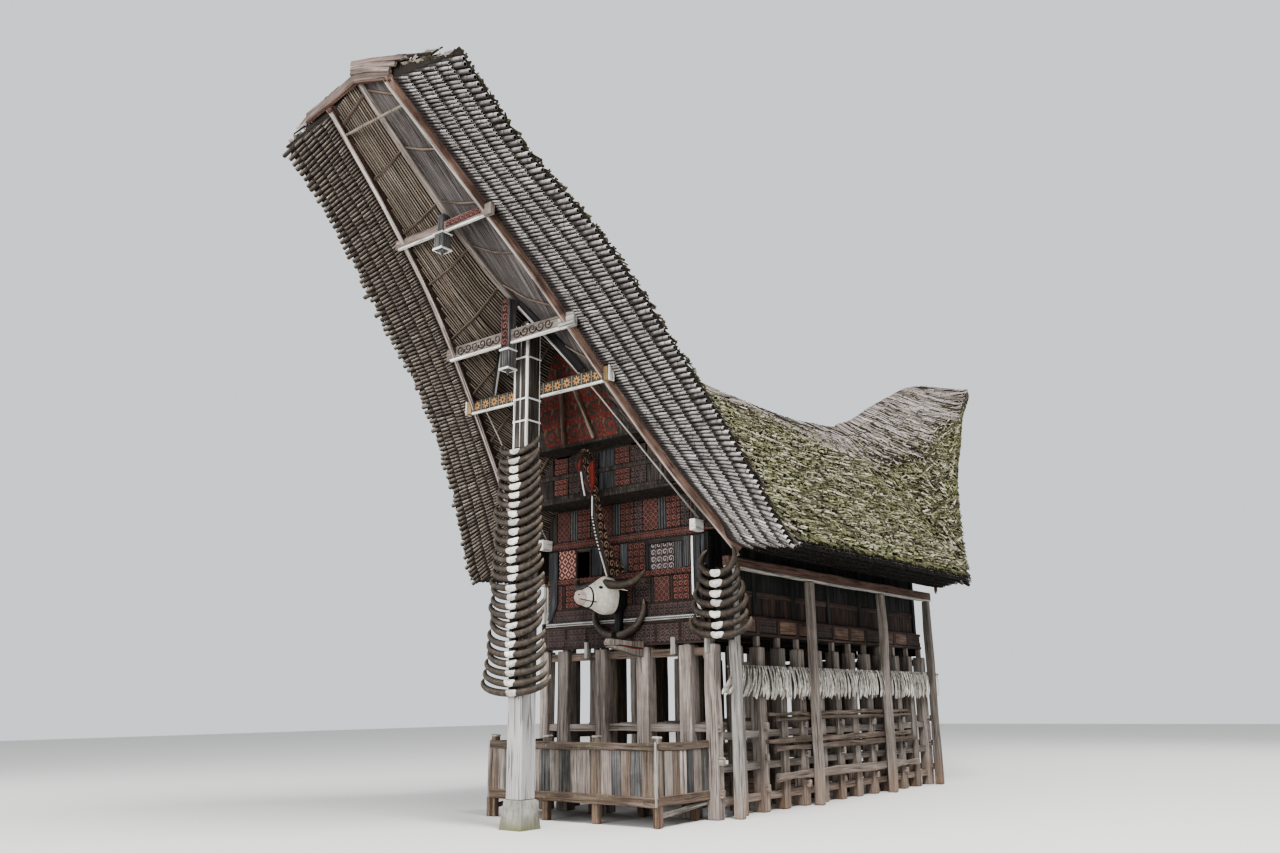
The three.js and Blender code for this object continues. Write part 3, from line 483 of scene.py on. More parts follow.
# Mould, painted near black for the shade in the roof's gaps and in the hollows of the culms
SHADED_MOULD = thatch("shaded_roof_mould",
               ((0.006, 0.005, 0.004), (0.016, 0.013, 0.011), (0.03, 0.025, 0.02), (0.055, 0.047, 0.037)),
               0.0)
SHARD = thatch("mossy_shards",
               ((0.017, 0.014, 0.009), (0.115, 0.1, 0.072), (0.29, 0.265, 0.205), (0.62, 0.59, 0.49)),
               0.52, 0.85)
DRY_SHARD = thatch("dry_shards",
                   ((0.015, 0.012, 0.01), (0.055, 0.045, 0.038), (0.13, 0.113, 0.098), (0.27, 0.245, 0.22)),
                   0.06)
FRONT_SHARD = thatch("front_shards",
                     ((0.015, 0.012, 0.009), (0.085, 0.073, 0.056), (0.21, 0.188, 0.15), (0.4, 0.37, 0.31)),
                     0.15, 0.5)
STRIP = thatch("ridge_strips",
               ((0.014, 0.011, 0.01), (0.115, 0.094, 0.088), (0.255, 0.225, 0.215), (0.48, 0.44, 0.42)),
               0.05)
LIGHT_STRIP = timber("light_strip", (0.13, 0.112, 0.098), (0.3, 0.275, 0.25), (0.46, 0.435, 0.41), 0.3, 0.1)
FASCIA = timber("fascia_timber", (0.045, 0.034, 0.028), (0.16, 0.122, 0.106), (0.3, 0.25, 0.225), 0.4, 0.1)
HORN = hornlike("buffalo_horn")
BONE = bone("bleached_bone", (0.86, 0.84, 0.79), (0.3, 0.27, 0.23))
JAW = bone("jaw_bone", (0.78, 0.75, 0.69), (0.15, 0.125, 0.1))
HIDE = bone("painted_head", (0.76, 0.74, 0.68), (0.48, 0.44, 0.36))
MUZZLE = bone("painted_muzzle", (0.62, 0.5, 0.45), (0.28, 0.22, 0.2))
CONCRETE = masonry("whitewashed_concrete")
# Dim red timber, also used as painted shade on the side-wall panels under the eave
DIM_RED = timber("dim_red_timber", (0.012, 0.008, 0.007), (0.04, 0.025, 0.02), (0.085, 0.058, 0.047), 0.35)
# Black paint, and painted shade on the side walls, beside the prow braces and behind the horns
BLACK = timber("black_and_shaded_timber", (0.005, 0.005, 0.005), (0.014, 0.013, 0.013), (0.035, 0.033, 0.032), 0.2)
# Post painted dark for the shade between the horns
DARK_POST = timber("dark_post", (0.014, 0.012, 0.01), (0.06, 0.052, 0.045), (0.17, 0.155, 0.14), 0.4)
RED_CIRCLES = carving("carved_red_circles", "circles", (0.016, 0.01, 0.009), (0.175, 0.072, 0.058),
                      (0.1, 0.036, 0.03))
RED_SCROLLS = carving("carved_red_scrolls", "scroll", (0.016, 0.01, 0.009), (0.2, 0.065, 0.05),
                      (0.1, 0.052, 0.042))
DARK_SCROLLS = carving("carved_dark_scrolls", "scroll", (0.011, 0.011, 0.012), (0.1, 0.05, 0.042),
                       (0.075, 0.08, 0.075))
RED_FRET = carving("carved_red_fret", "fret", (0.12, 0.02, 0.016), (0.36, 0.27, 0.22))
GREY_ROWS = carving("carved_grey_rows", "rows", (0.015, 0.015, 0.015), (0.075, 0.077, 0.078))
ZIGZAG = carving("painted_zigzag", "zigzag", (0.03, 0.027, 0.026), (0.6, 0.59, 0.56))
WHITE_SCROLLS = carving("carved_white_scrolls", "scroll", (0.03, 0.014, 0.014), (0.34, 0.3, 0.285),
                        (0.17, 0.15, 0.145))
RED_CURLS = carving("carved_red_curls", "scroll", (0.09, 0.013, 0.01), (0.026, 0.024, 0.018),
                    (0.075, 0.062, 0.038))
CORD_STRIPES = carving("striped_cord", "rows", (0.02, 0.019, 0.018), (0.7, 0.68, 0.64), wear=0.1)
BLUISH_PLANK = timber("bluish_plank", (0.022, 0.021, 0.021), (0.1, 0.098, 0.096), (0.22, 0.217, 0.213),
                      0.6, 0.1)
BLACK_PLANK = timber("black_plank", (0.012, 0.012, 0.012), (0.06, 0.056, 0.053), (0.16, 0.15, 0.14),
                     0.5, 0.1)
FLOWERS = carving("painted_flowers", "flowers", (0.04, 0.035, 0.026), (0.36, 0.19, 0.075),
                  (0.14, 0.15, 0.145))
NECK_SCROLLS = carving("carved_neck_scrolls", "scroll", (0.014, 0.011, 0.01), (0.42, 0.29, 0.2),
                       (0.11, 0.045, 0.033))
SILL_BOARD = timber("sill_board", (0.045, 0.027, 0.02), (0.14, 0.086, 0.064), (0.25, 0.165, 0.125),
                    0.6, 0.2)
GOLDEN = timber("golden_timber", (0.07, 0.045, 0.022), (0.24, 0.165, 0.08), (0.4, 0.3, 0.17), 0.3)


def chamfered(width, height, chamfer):
    """Outline of a rectangle with cut corners, in parts of its width and height."""
    a, b = 0.5 - chamfer / width, 0.5 - chamfer / height
    return np.array([(0.5, -b), (0.5, b), (a, 0.5), (-a, 0.5),
                     (-0.5, b), (-0.5, -b), (-a, -0.5), (a, -0.5)])


def round_outline(sides):
    angle = 2 * np.pi * (np.arange(sides) + 0.5) / sides
    return np.stack([np.cos(angle), np.sin(angle)], -1) / 2


SQUARE = np.array([(0.5, -0.5), (0.5, 0.5), (-0.5, 0.5), (-0.5, -0.5)])
PEAK = np.array([(0.5, -0.5), (0.0, 0.5), (-0.5, -0.5)])
ROUND = round_outline(8)
ROUND_FINE = round_outline(10)


def around(middle, half):
    return middle - half, middle + half


def outward(side, near, far):
    """Range between two distances from the middle plane, on one side of the house."""
    return sorted((side * near, side * far))


def boards(edges, gap):
    """Ranges between neighbouring edges, each shortened by a gap at both ends."""
    return [(a + gap, b - gap) for a, b in zip(edges[:-1], edges[1:])]


def unit(vectors):
    return vectors / np.maximum(np.linalg.norm(vectors, axis=-1, keepdims=True), 1e-9)


def spread(value, bars, rings):
    """A number, one number for each bar, or one for each ring, as an array of bars by rings."""
    value = np.asarray(value, float)
    if value.ndim == 1 and len(value) == bars and bars != 1:
        value = value[:, None]
    return np.broadcast_to(value, (bars, rings))


def band(rings, k):
    """Quads between each of the numbered rings and the next one; a ring has k corners."""
    ring = np.arange(k)
    after = (ring + 1) % k
    quads = np.stack([ring, k + ring, k + after, after], -1)
    return np.concatenate([quads + r * k for r in rings])


def in_cells(points, cells):
    """Place of points in a pattern. cells is (first axis, second axis, x0, y0, size of a cell)."""
    first, second, x0, y0, cell = cells
    across = (points[..., first] - x0) / cell
    return np.stack([across, (points[..., second] - y0) / cell, np.zeros(across.shape)], -1)


def ring_points(centres, side, top, across, high):
    """Corners of rings, given how far each one is from its centre sideways and upwards."""
    return centres[:, :, None] + side[:, :, None] * across[..., None] + top[:, :, None] * high[..., None]


def ring_grain(distance, across, high):
    """Place of the corners in the wood, with the fibres along the bar. Each bar has wood of its own."""
    grain = np.stack([np.broadcast_to(distance[..., None], across.shape), across, high], -1)
    return grain + rng.uniform(0, GRAIN_SPREAD, (len(grain), 1, 1, 3))


class Shape:
    """Solids that are gathered and then made into one piece."""

    def __init__(self):
        self.points, self.grain, self.tone, self.faces = [], [], [], []
        self.count = 0

    def add(self, points, grain, tone, faces):
        """faces is a list of (rows of corner numbers, material number)."""
        self.points.append(points.reshape(-1, 3))
        self.grain.append(grain.reshape(-1, 3))
        self.tone.append(tone.reshape(-1))
        self.faces += [(rows + self.count, material) for rows, material in faces]
        self.count += len(self.points[-1])

    def skin(self, points, grain, tone, stretches, first_end, last_end):
        """Adds the faces round bars (bars, rings, corners, 3) and over both ends, whose materials are
        given last. A stretch is (numbers of its rings, material)."""
        n, m, k = points.shape[:3]
        ring = np.arange(k)
        start = (np.arange(n) * m * k)[:, None, None]
        faces = [((band(rings, k) + start).reshape(-1, 4), material) for rings, material in stretches]
        faces.append((ring + start[:, 0], first_end))
        faces.append((ring[::-1] + (m - 1) * k + start[:, 0], last_end))
        self.add(points, grain, tone, faces)

    def bars(self, paths, outline, width, height, up=UP, tone=None, material=0, cells=None):
        """Bars along paths (bars, rings, 3); the outline is scaled by width across and by height along up.
        cells lays a pattern on the bar instead of wood grain, as in in_cells."""
        paths = np.asarray(paths, float)
        if paths.ndim == 2:
            paths = paths[None]
        n, m, _ = paths.shape
        along = unit(np.gradient(paths, axis=1))
        side = unit(np.cross(along, np.broadcast_to(np.asarray(up, float), paths.shape)))
        top = np.cross(side, along)
        across = outline[:, 0] * spread(width, n, m)[..., None]
        high = outline[:, 1] * spread(height, n, m)[..., None]
        points = ring_points(paths, side, top, across, high)
        step = np.linalg.norm(np.diff(paths, axis=1), axis=-1)
        distance = np.concatenate([np.zeros((n, 1)), np.cumsum(step, 1)], 1)
        grain = in_cells(points, cells) if cells else ring_grain(distance, across, high)
        if tone is None:
            tone = rng.uniform(0, 1, n)
        tone = np.broadcast_to(spread(tone, n, m)[..., None], across.shape)
        self.skin(points, grain, tone, [(range(m - 1), material)], material, material)

    def timber(self, start, end, width, height, up=UP, chamfer=0.008, rough=0.003, tone=None, material=0,
               cells=None):
        """Sawn timber between two points, with worn corners and slightly uneven sides."""
        start, end = np.asarray([start], float), np.asarray([end], float)
        length = np.linalg.norm(end - start)
        inset = min(chamfer / length, 0.2)
        inner = np.linspace(inset, 1 - inset, max(2, int(round(length / TIMBER_STEP)) + 1))
        t = np.concatenate([[0.0], inner, [1.0]])
        paths = start[:, None] + (end - start)[:, None] * t[:, None]
        along = unit(end - start)[:, None]
        bend = rng.normal(0, rough, paths.shape)
        bend[:, 0], bend[:, -1] = bend[:, 1], bend[:, -2]
        paths += bend - along * (bend * along).sum(-1, keepdims=True)
        worn = 2 * chamfer * ((t == 0) | (t == 1))
        size_x = width - worn + rng.normal(0, rough, (1, len(t)))
        size_z = height - worn + rng.normal(0, rough, (1, len(t)))
        self.bars(paths, chamfered(width, height, chamfer), size_x, size_z, up, tone, material, cells)

    def block(self, x, y, z, chamfer=0.008, rough=0.002, tone=None, material=0, cells=None):
        """One timber that fills a box and runs along the box's longest side."""
        low, high = np.array([x[0], y[0], z[0]], float), np.array([x[1], y[1], z[1]], float)
        size, middle = high - low, (low + high) / 2
        axis = int(np.argmax(size))
        reach = np.zeros(3)
        reach[axis] = size[axis] / 2
        up = np.array([0.0, 1.0, 0.0]) if axis == 2 else UP
        width, height = (size[0], size[1]) if axis == 2 else (size[1 - axis], size[2])
        start, end = middle - reach, middle + reach
        self.timber(start, end, width, height, up, chamfer, rough, tone, material, cells)

    def loft(self, rings, tone=0.5, material=0, cells=None):
        """Closed solid through rings (rings, corners, 3)."""
        points = np.asarray(rings, float)
        m, k, _ = points.shape
        points = points.reshape(-1, 3)
        sides = band(range(m - 1), k)[:, [0, 3, 2, 1]]
        corners = points[sides]
        volume = (np.cross(corners[:, 0], corners[:, 1]) * corners[:, 2]).sum()
        volume += (np.cross(corners[:, 0], corners[:, 2]) * corners[:, 3]).sum()
        first, last = np.arange(k)[None, ::-1], np.arange(k)[None] + (m - 1) * k
        if volume < 0:
            sides, first, last = sides[:, ::-1], first[:, ::-1], last[:, ::-1]
        grain = in_cells(points, cells) if cells else points[:, [2, 0, 1]] + rng.uniform(0, GRAIN_SPREAD, 3)
        faces = [(rows, material) for rows in (sides, first, last)]
        self.add(points, grain, np.full(len(points), float(tone)), faces)

    def culms(self, starts, ends, radius, sunny, tone, rim):
        """Bamboo culms, open at the far end: a tube, the cut ring and the hollow behind it. Painted
        highlight falls on the side that looks along sunny, painted shade on the other, and painted shade
        near their roots and in the hollow."""
        along = unit(ends - starts)
        side = unit(np.cross(along, UP))
        top = np.cross(side, along)
        circle = ROUND * 2
        length = np.linalg.norm(ends - starts, axis=1)
        hollow = np.minimum(CULM_HOLLOW, length * 0.4)
        distance = np.stack([0 * length, 0.36 * length, 0.6 * length, length, length, length - hollow], 1)
        size = radius[:, None] * np.array([0.96, 0.97, 0.98, 1.0, 0.66, 0.6])
        centre = starts[:, None] + along[:, None] * distance[..., None]
        across, high = circle[:, 0] * size[..., None], circle[:, 1] * size[..., None]
        points = ring_points(centre, side[:, None], top[:, None], across, high)
        grain = ring_grain(distance, across, high)
        # Painted highlight on the side towards sunny, painted shade on the side away from it
        light = (side[:, None] * circle[:, :1] + top[:, None] * circle[:, 1:]) @ np.asarray(sunny)
        bright = np.clip((light - 0.15) / 0.6, 0, 1)
        painted_light = HIGHLIGHT_TONE * bright * bright * (3 - 2 * bright) + AWAY_SHADE * np.minimum(light, 0)
        # Painted shade near the root, where the end of the row inside hangs over it, and in the hollow
        unshaded = np.array([0.0, 0.15, 1.0, 1.0, 1.0, 0.0])[:, None]
        tone = tone[:, None, None] + painted_light[:, None] * unshaded - SHADED * (1 - unshaded)
        self.skin(points, grain, tone, [([r], look) for r, look in enumerate((0, 0, 0, rim, 2))], 0, 2)

    def piece(self, name, materials, slot, *nodes, soft=35):
        """Makes the piece; it rides on the house and stands for the named solids."""
        mesh = bpy.data.meshes.new(name)
        sizes = np.concatenate([np.full(len(rows), rows.shape[1]) for rows, _ in self.faces])
        numbers = np.concatenate([np.full(len(rows), number) for rows, number in self.faces])
        corners = np.concatenate([rows.ravel() for rows, _ in self.faces])
        mesh.vertices.add(self.count)
        mesh.vertices.foreach_set("co", np.concatenate(self.points).astype(np.float32).ravel())
        mesh.loops.add(len(corners))
        mesh.loops.foreach_set("vertex_index", corners.astype(np.int32))
        mesh.polygons.add(len(sizes))
        mesh.polygons.foreach_set("loop_start", (np.cumsum(sizes) - sizes).astype(np.int32))
        mesh.polygons.foreach_set("material_index", numbers.astype(np.int32))
        grain = mesh.attributes.new("grain", "FLOAT_VECTOR", "POINT")
        grain.data.foreach_set("vector", np.concatenate(self.grain).astype(np.float32).ravel())
        tone = mesh.attributes.new("tone", "FLOAT", "POINT")
        tone.data.foreach_set("value", np.concatenate(self.tone).astype(np.float32))
        mesh.update(calc_edges=True)
        mesh.shade_smooth()
        mesh.set_sharp_from_angle(angle=math.radians(soft))
        for material in materials if isinstance(materials, list) else [materials]:
            mesh.materials.append(material)
        piece = bpy.data.objects.new(name, mesh)
        bpy.context.collection.objects.link(piece)
        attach(piece, "root")
        if nodes:
            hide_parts(*nodes)


def follow(line, t):
    """Points on the smooth curve through a row of points; t counts its stations."""
    t = np.clip(np.asarray(t, float), 0, len(line) - 1)
    i = np.minimum(t.astype(int), len(line) - 2)
    f = (t - i)[..., None]
    p0, p1 = line[np.maximum(i - 1, 0)], line[i]
    p2, p3 = line[i + 1], line[np.minimum(i + 2, len(line) - 1)]
    return 0.5 * (2 * p1 + (p2 - p0) * f + (2 * p0 - 5 * p1 + 4 * p2 - p3) * f ** 2
                  + (3 * p1 - p0 - 3 * p2 + p3) * f ** 3)


def facing(line, end):
    return line * np.array([1, end, 1])


def mirror(points, side):
    return points * np.array([side, 1, 1])


# Lines along the whole roof, from the front tip to the rear tip. The room is between stations 6 and 10.
def whole_line(prow_line, body, rear_line):
    return np.concatenate([facing(prow_line, FRONT)[::-1], body, facing(rear_line, REAR)])


REAR_DRIP = DRIP.copy()
REAR_DRIP[:, 0] = BOARD[:, 0] + (DRIP[:, 0] - BOARD[:, 0]) * REAR_WING_RATIO
REAR_DRIP[:, 2] += REAR_EAVE_RISE * (1 - np.arange(LAST + 1) / LAST)
body_share = np.array([0.25, 0.5, 0.75])[:, None]
body_drip = DRIP[0] * (1 - body_share) + REAR_DRIP[0] * body_share
body_drip[:, 1] = BODY_RIDGE[:, 1]
body_inner = np.array([(BODY_INNER[0], y, BODY_INNER[1]) for y in BODY_RIDGE[:, 1]])
RIDGE_LINE = whole_line(RIDGE, BODY_RIDGE, RIDGE)
APEX_LINE = whole_line(APEX, BODY_APEX, APEX)
INNER_LINE = whole_line(BOARD, body_inner, BOARD)
DRIP_LINE = whole_line(DRIP, body_drip, REAR_DRIP)
FRONT_TIP, FRONT_ROOM, REAR_ROOM, REAR_TIP = 0.0, float(LAST), LAST + 4.0, 2.0 * LAST + 4


def top_point(u, f, side):
    """Point on top of the roof: u along it, f from the drip edge (0) to the ridge (1)."""
    f = np.asarray(f, float)
    ridge, drip = follow(RIDGE_LINE, u), follow(DRIP_LINE, u)
    point = drip + (ridge - drip) * f[..., None]
    climb = 1 - np.mod(np.minimum(f, 0.9999) * ROOF_COURSES, 1)
    point[..., 2] += TILE_EDGE * (1 - f) - ROOF_SAG * 4 * f * (1 - f) + COURSE_RISE * climb
    return mirror(point, side)


def under_point(u, f, side):
    """Point under the tiles: f from the edge board (0) to the drip edge (1)."""
    f = np.asarray(f, float)
    inner, drip = follow(INNER_LINE, u), follow(DRIP_LINE, u)
    inner = inner + np.array([BARGE_WIDTH, 0, 0])
    return mirror(inner + (drip - inner) * f[..., None], side)


def lining_point(u, f, side):
    """Point on the lining: f from its apex (0) to the edge board (1)."""
    f = np.asarray(f, float)
    apex, board = follow(APEX_LINE, u), follow(INNER_LINE, u)
    away = np.minimum(np.abs(u - FRONT_TIP), np.abs(u - REAR_TIP)) / LAST
    point = apex + (board - apex) * f[..., None]
    point[..., 2] -= LINING_SAG * np.minimum(away, 1) * (1 - np.abs(2 * f - 1))
    return mirror(point, side)


def evenly(surface, u0, u1, f, side, pitch, jitter):
    """Places u along a line of a surface, about pitch metres apart."""
    u = np.linspace(u0, u1, 300)
    line = surface(u, np.full(len(u), f), side)
    distance = np.concatenate([[0], np.cumsum(np.linalg.norm(np.diff(line, axis=0), axis=1))])
    count = max(2, int(distance[-1] / pitch))
    at = (np.arange(count) + 0.5 + rng.uniform(-jitter, jitter, count)) / count * distance[-1]
    return np.interp(at, distance, u)


def slope_normal(u, f, side):
    """Direction out of the top of the roof."""
    ahead = top_point(u + 0.02, f, side) - top_point(u - 0.02, f, side)
    upward = top_point(u, f + 0.01, side) - top_point(u, f - 0.01, side)
    normal = unit(np.cross(ahead, upward))
    return normal * np.where(normal[..., 2:] < 0, -1, 1)


def slope_length(u, side):
    """Length of the slope from the drip edge to the ridge."""
    one = np.ones(u.shape)
    return np.linalg.norm(top_point(u, one, side) - top_point(u, 0 * one, side), axis=-1)


def roof_core():
    """Mould, painted dark for the shade between the rows of culms below and the shards above."""
    shape = Shape()
    u = np.linspace(FRONT_TIP + 0.02, REAR_TIP - 0.02, 120)
    one = np.ones(len(u))
    lift = np.array([0, 0, 0.055])
    right = [lining_point(u, one, 1) + lift]
    right += [under_point(u, one * f, 1) + lift for f in (0.35, 0.97)]
    for course in range(ROOF_COURSES):
        low, high = (course + 0.03) / ROOF_COURSES, (course + 0.99) / ROOF_COURSES
        right += [top_point(u, one * f, 1) - lift * 0.5 for f in (low, high)]
    left = [mirror(p, -1) for p in right[::-1]]
    apex = follow(APEX_LINE, u) + lift
    beside_apex = lining_point(u, one * 0.5, 1) + lift
    ridge = follow(RIDGE_LINE, u) - lift * 0.45
    shape.loft(np.stack(right + [ridge] + left + [mirror(beside_apex, -1), apex, beside_apex], 1))
    shape.piece("roof_core", SHADED_MOULD, "mossy_thatch")


def tile_rows(name, side, u0, u1, node, culm, sunny, shade=0.0, ragged=0.012):
    """Rows of culms under the overhang. Each row starts above the end of the row inside it.
    shade is painted shade that darkens the rows, and ragged is how unevenly the outermost culms end."""
    shape = Shape()
    for layer in range(LAYERS):
        outermost = layer == LAYERS - 1
        near, far = layer / LAYERS, (layer + 1) / LAYERS
        u = evenly(under_point, u0, u1, (near + far) / 2, side, LAYER_PITCH[layer], 0.07)
        n = len(u)
        radius = LAYER_FILL * LAYER_PITCH[layer] / 2 * rng.uniform(0.92, 1.08, n)
        lean = rng.normal(0, 0.0025, n)
        start = under_point(u - lean, np.full(n, max(near - 0.08, 0.0)), side)
        end_share = far + (rng.normal(0.0, ragged, n) if outermost else rng.normal(0.012, 0.004, n))
        end = under_point(u + lean, end_share, side)
        start[:, 2] += LAYER_RISE / 2 + radius + rng.normal(0, 0.002, n)
        end[:, 2] += radius - LAYER_RISE / 2 + rng.normal(0, 0.003, n)
        tone = rng.normal(0.2 if outermost else 0.25, 0.05, n) - shade
        shape.culms(start, end, radius, sunny, tone, 0 if outermost or culm is CULM_IN_SHADE else 1)
    shape.piece(name, [culm, CULM_END, SHADED_MOULD], "bamboo_tile", node)


def shard_courses(name, side, u0, u1, node, look, wild):
    """Courses of split bamboo that point down the slope. wild, up to 1, turns, lifts and shortens them
    and makes many of them dark. The wildest have a fringe over the drip edge."""
    shape = Shape()
    slope = slope_length(np.array([(u0 + u1) / 2]), side)[0]
    rows = int(slope / SHARD_COURSE)
    for row in range(rows):
        f = SHARD_REACH * row / rows
        u = evenly(top_point, u0, u1, f, side, SHARD_PITCH, 0.5)
        n = len(u)
        low_share = np.maximum(f - rng.uniform(0.0, 0.8, n) / rows, -0.008)
        length = rng.uniform(1.2 - 0.4 * wild, 2.1 - 0.3 * wild, n) / rows
        high_share = np.minimum(low_share + length, 0.995)
        lean = rng.normal(0, 0.02 + 0.045 * wild, n)
        normal = slope_normal(u, np.clip(low_share, 0.01, 0.98), side)
        lift = rng.uniform(0.012, 0.055 + 0.05 * wild, n)[:, None]
        low = top_point(u + lean, low_share, side) + normal * lift
        high = top_point(u - lean, high_share, side) - normal * 0.012
        width = rng.uniform(0.03, 0.07 - 0.012 * wild, n)
        dark = rng.uniform(0, 1, n) < 0.3 * wild
        tone = np.where(dark, rng.uniform(0, 0.12, n), rng.uniform(0.1 * wild, 1, n))
        if row == 0:
            tone *= FIRST_ROW_TONE
        widths = np.stack([width, width * rng.uniform(0.35, 1.0, n)], 1)
        heights = np.stack([width * 0.3, width * 0.42], 1)
        shape.bars(np.stack([high, low], 1), PEAK, widths, heights, normal[:, None], tone)
    if wild > 0.5:
        u = evenly(top_point, u0, u1, 0.0, side, FRINGE_PITCH, 0.5)
        n = len(u)
        root = top_point(u, np.full(n, 0.014), side)
        hang = [side * rng.uniform(-0.01, 0.04, n), rng.normal(0, 0.03, n), -rng.uniform(0.03, 0.12, n)]
        tip = root + np.stack(hang, -1)
        width = rng.uniform(0.02, 0.045, n)
        shape.bars(np.stack([root, tip], 1), PEAK, np.stack([width, width * 0.5], 1), 0.016,
                   mirror(ACROSS, side), rng.uniform(0, 0.35, n))
    shape.piece(name, look, "mossy_thatch", node, soft=60)


def ridge_strips():
    """Long split culms over a dark bed. They lie almost along the ridge in the middle of the roof
    and turn down the slope towards the tips."""
    shape = Shape()
    u = np.linspace(FRONT_TIP + 0.05, REAR_TIP - 0.05, 100)
    share = 0.97 * np.interp(u, *STRIP_REACH) / slope_length(u, 1)
    bed = ((1, 0.0), (1, STRIP_LIFT - 0.005), (0.5, STRIP_LIFT))
    ring = [top_point(u, 1 - share * part, 1) + UP * lift for part, lift in bed]
    ring.append(follow(RIDGE_LINE, u) + UP * STRIP_LIFT)
    ring += [mirror(p, -1) for p in ring[2::-1]]
    ring.append(follow(RIDGE_LINE, u) - UP * 0.02)
    shape.loft(np.stack(ring, 1), material=1)
    steps = np.linspace(-1, 1, 6)
    middle = (FRONT_TIP + REAR_TIP) / 2
    for side in (1, -1):
        for offset in np.arange(0.03, 1.55, STRIP_ROWS):
            u = evenly(top_point, FRONT_TIP, REAR_TIP, 0.95, side, STRIP_PITCH, 0.5)
            u = u[offset < np.interp(u, *STRIP_REACH) * rng.uniform(0.85, 1.08, len(u))]
            n = len(u)
            if n < 2:
                continue
            turn = np.radians(np.interp(np.abs(u - middle), *STRIP_TURN))[:, None]
            turn = turn + rng.normal(0, 0.05, (n, 1))
            half = rng.uniform(0.4, 0.72, (n, 1))
            ahead = follow(RIDGE_LINE, u + 0.05) - follow(RIDGE_LINE, u - 0.05)
            speed = np.linalg.norm(ahead, axis=1)[:, None] / 0.1
            at = u[:, None] + np.sign(u - middle)[:, None] * half * steps * np.cos(turn) / speed
            at = np.clip(at, FRONT_TIP - 0.02, REAR_TIP + 0.02)
            down = half * np.sin(turn)
            depth = np.maximum(offset + rng.normal(0, 0.03, (n, 1)), down) + half * steps * np.sin(turn)
            share = 1 - np.clip(depth / slope_length(at, side), 0, 0.98)
            paths = top_point(at, share, side)
            lift = np.interp(share, [0.85, 1], [0.085, 0.062])
            paths[..., 2] += lift + rng.uniform(-0.012, 0.016, (n, 1))
            width = rng.uniform(0.03, 0.06, (n, 1)) * np.array([0.7, 1, 1, 1, 1, 0.6])
            normal = slope_normal(u, np.clip(share[:, 3], 0.05, 0.98), side)
            dark = rng.uniform(0, 1, n) < 0.38
            tone = np.where(dark, rng.uniform(-0.45, 0.05, n), rng.uniform(0.3, 0.95, n))
            shape.bars(paths, PEAK, width, width * 0.4, normal[:, None], tone)
    shape.piece("ridge_strips", [STRIP, BROWN], "grey_timber", "ridge_cap", soft=60)


def lining(word, end):
    """Reeds laid along the prow under the roof, battens across them and the timber under the ridge."""
    shape = Shape()
    tip, room = (FRONT_TIP, FRONT_ROOM) if end == FRONT else (REAR_TIP, REAR_ROOM)
    u = tip + (room - tip) * np.linspace(0, 1, 60)
    one = np.ones(len(u))
    reed = ROUND * np.array([1, 0.8])
    for side in (1, -1):
        width = np.linalg.norm(lining_point(u, one, side) - lining_point(u, one * 0, side), axis=1)
        # The right half of the front lining is painted dark for the shade it lies in
        look = 1 if side == 1 and end == FRONT else 0
        for k in range(int(width.max() / REED_PITCH)):
            away = (k + 0.5) * REED_PITCH
            inside = np.where(width > away + 0.01)[0]
            if len(inside) < 3:
                continue
            picked = np.linspace(inside[0], inside[-1], max(4, len(inside) // 5)).round().astype(int)
            share = away / width[picked] + rng.normal(0, 0.0007, len(picked))
            path = lining_point(u[picked], np.clip(share, 0, 1), side)
            path[:, 2] += 0.014 + rng.uniform(-0.003, 0.003)
            thick = REED_PITCH * rng.uniform(0.7, 0.82)
            shape.bars(path, reed, thick, 0.022, tone=rng.normal(0.47, 0.22), material=look)
        for centre in np.arange(0.18, 5.4, BATTEN_PITCH):
            at = tip + (room - tip) * (centre + np.linspace(-0.01, 0.01, 9)) / LAST
            path = lining_point(at, np.linspace(0.04, 0.98, 9), side)
            path[:, 2] -= 0.014
            shape.bars(path, SQUARE, 0.034, 0.022, tone=0.3 if side < 0 else 0.7, material=2)
    stations = np.linspace(0, LAST, 30)
    pole = follow(facing(APEX, end), stations)
    pole[:, 1] = end * np.maximum(np.abs(pole[:, 1]), 4.01)
    pole[:, 2] += -0.095 + 0.009 * stations
    shape.bars(pole, chamfered(0.1, 0.1, 0.012), 0.085, 0.1, ACROSS, tone=0.4, material=3)
    if end == FRONT:
        for side in (1, -1):
            foot, head = (side * 1.66, -4.2, 4.58), (side * 1.13, -6.29, 6.45)
            shape.timber(head, foot, 0.024, 0.03, tone=0.8, material=4)
    shape.piece(f"{word}_reeds", [REED, REED_SHADED, BROWN, WARM, PALE], "lining_board", f"{word}_lining")


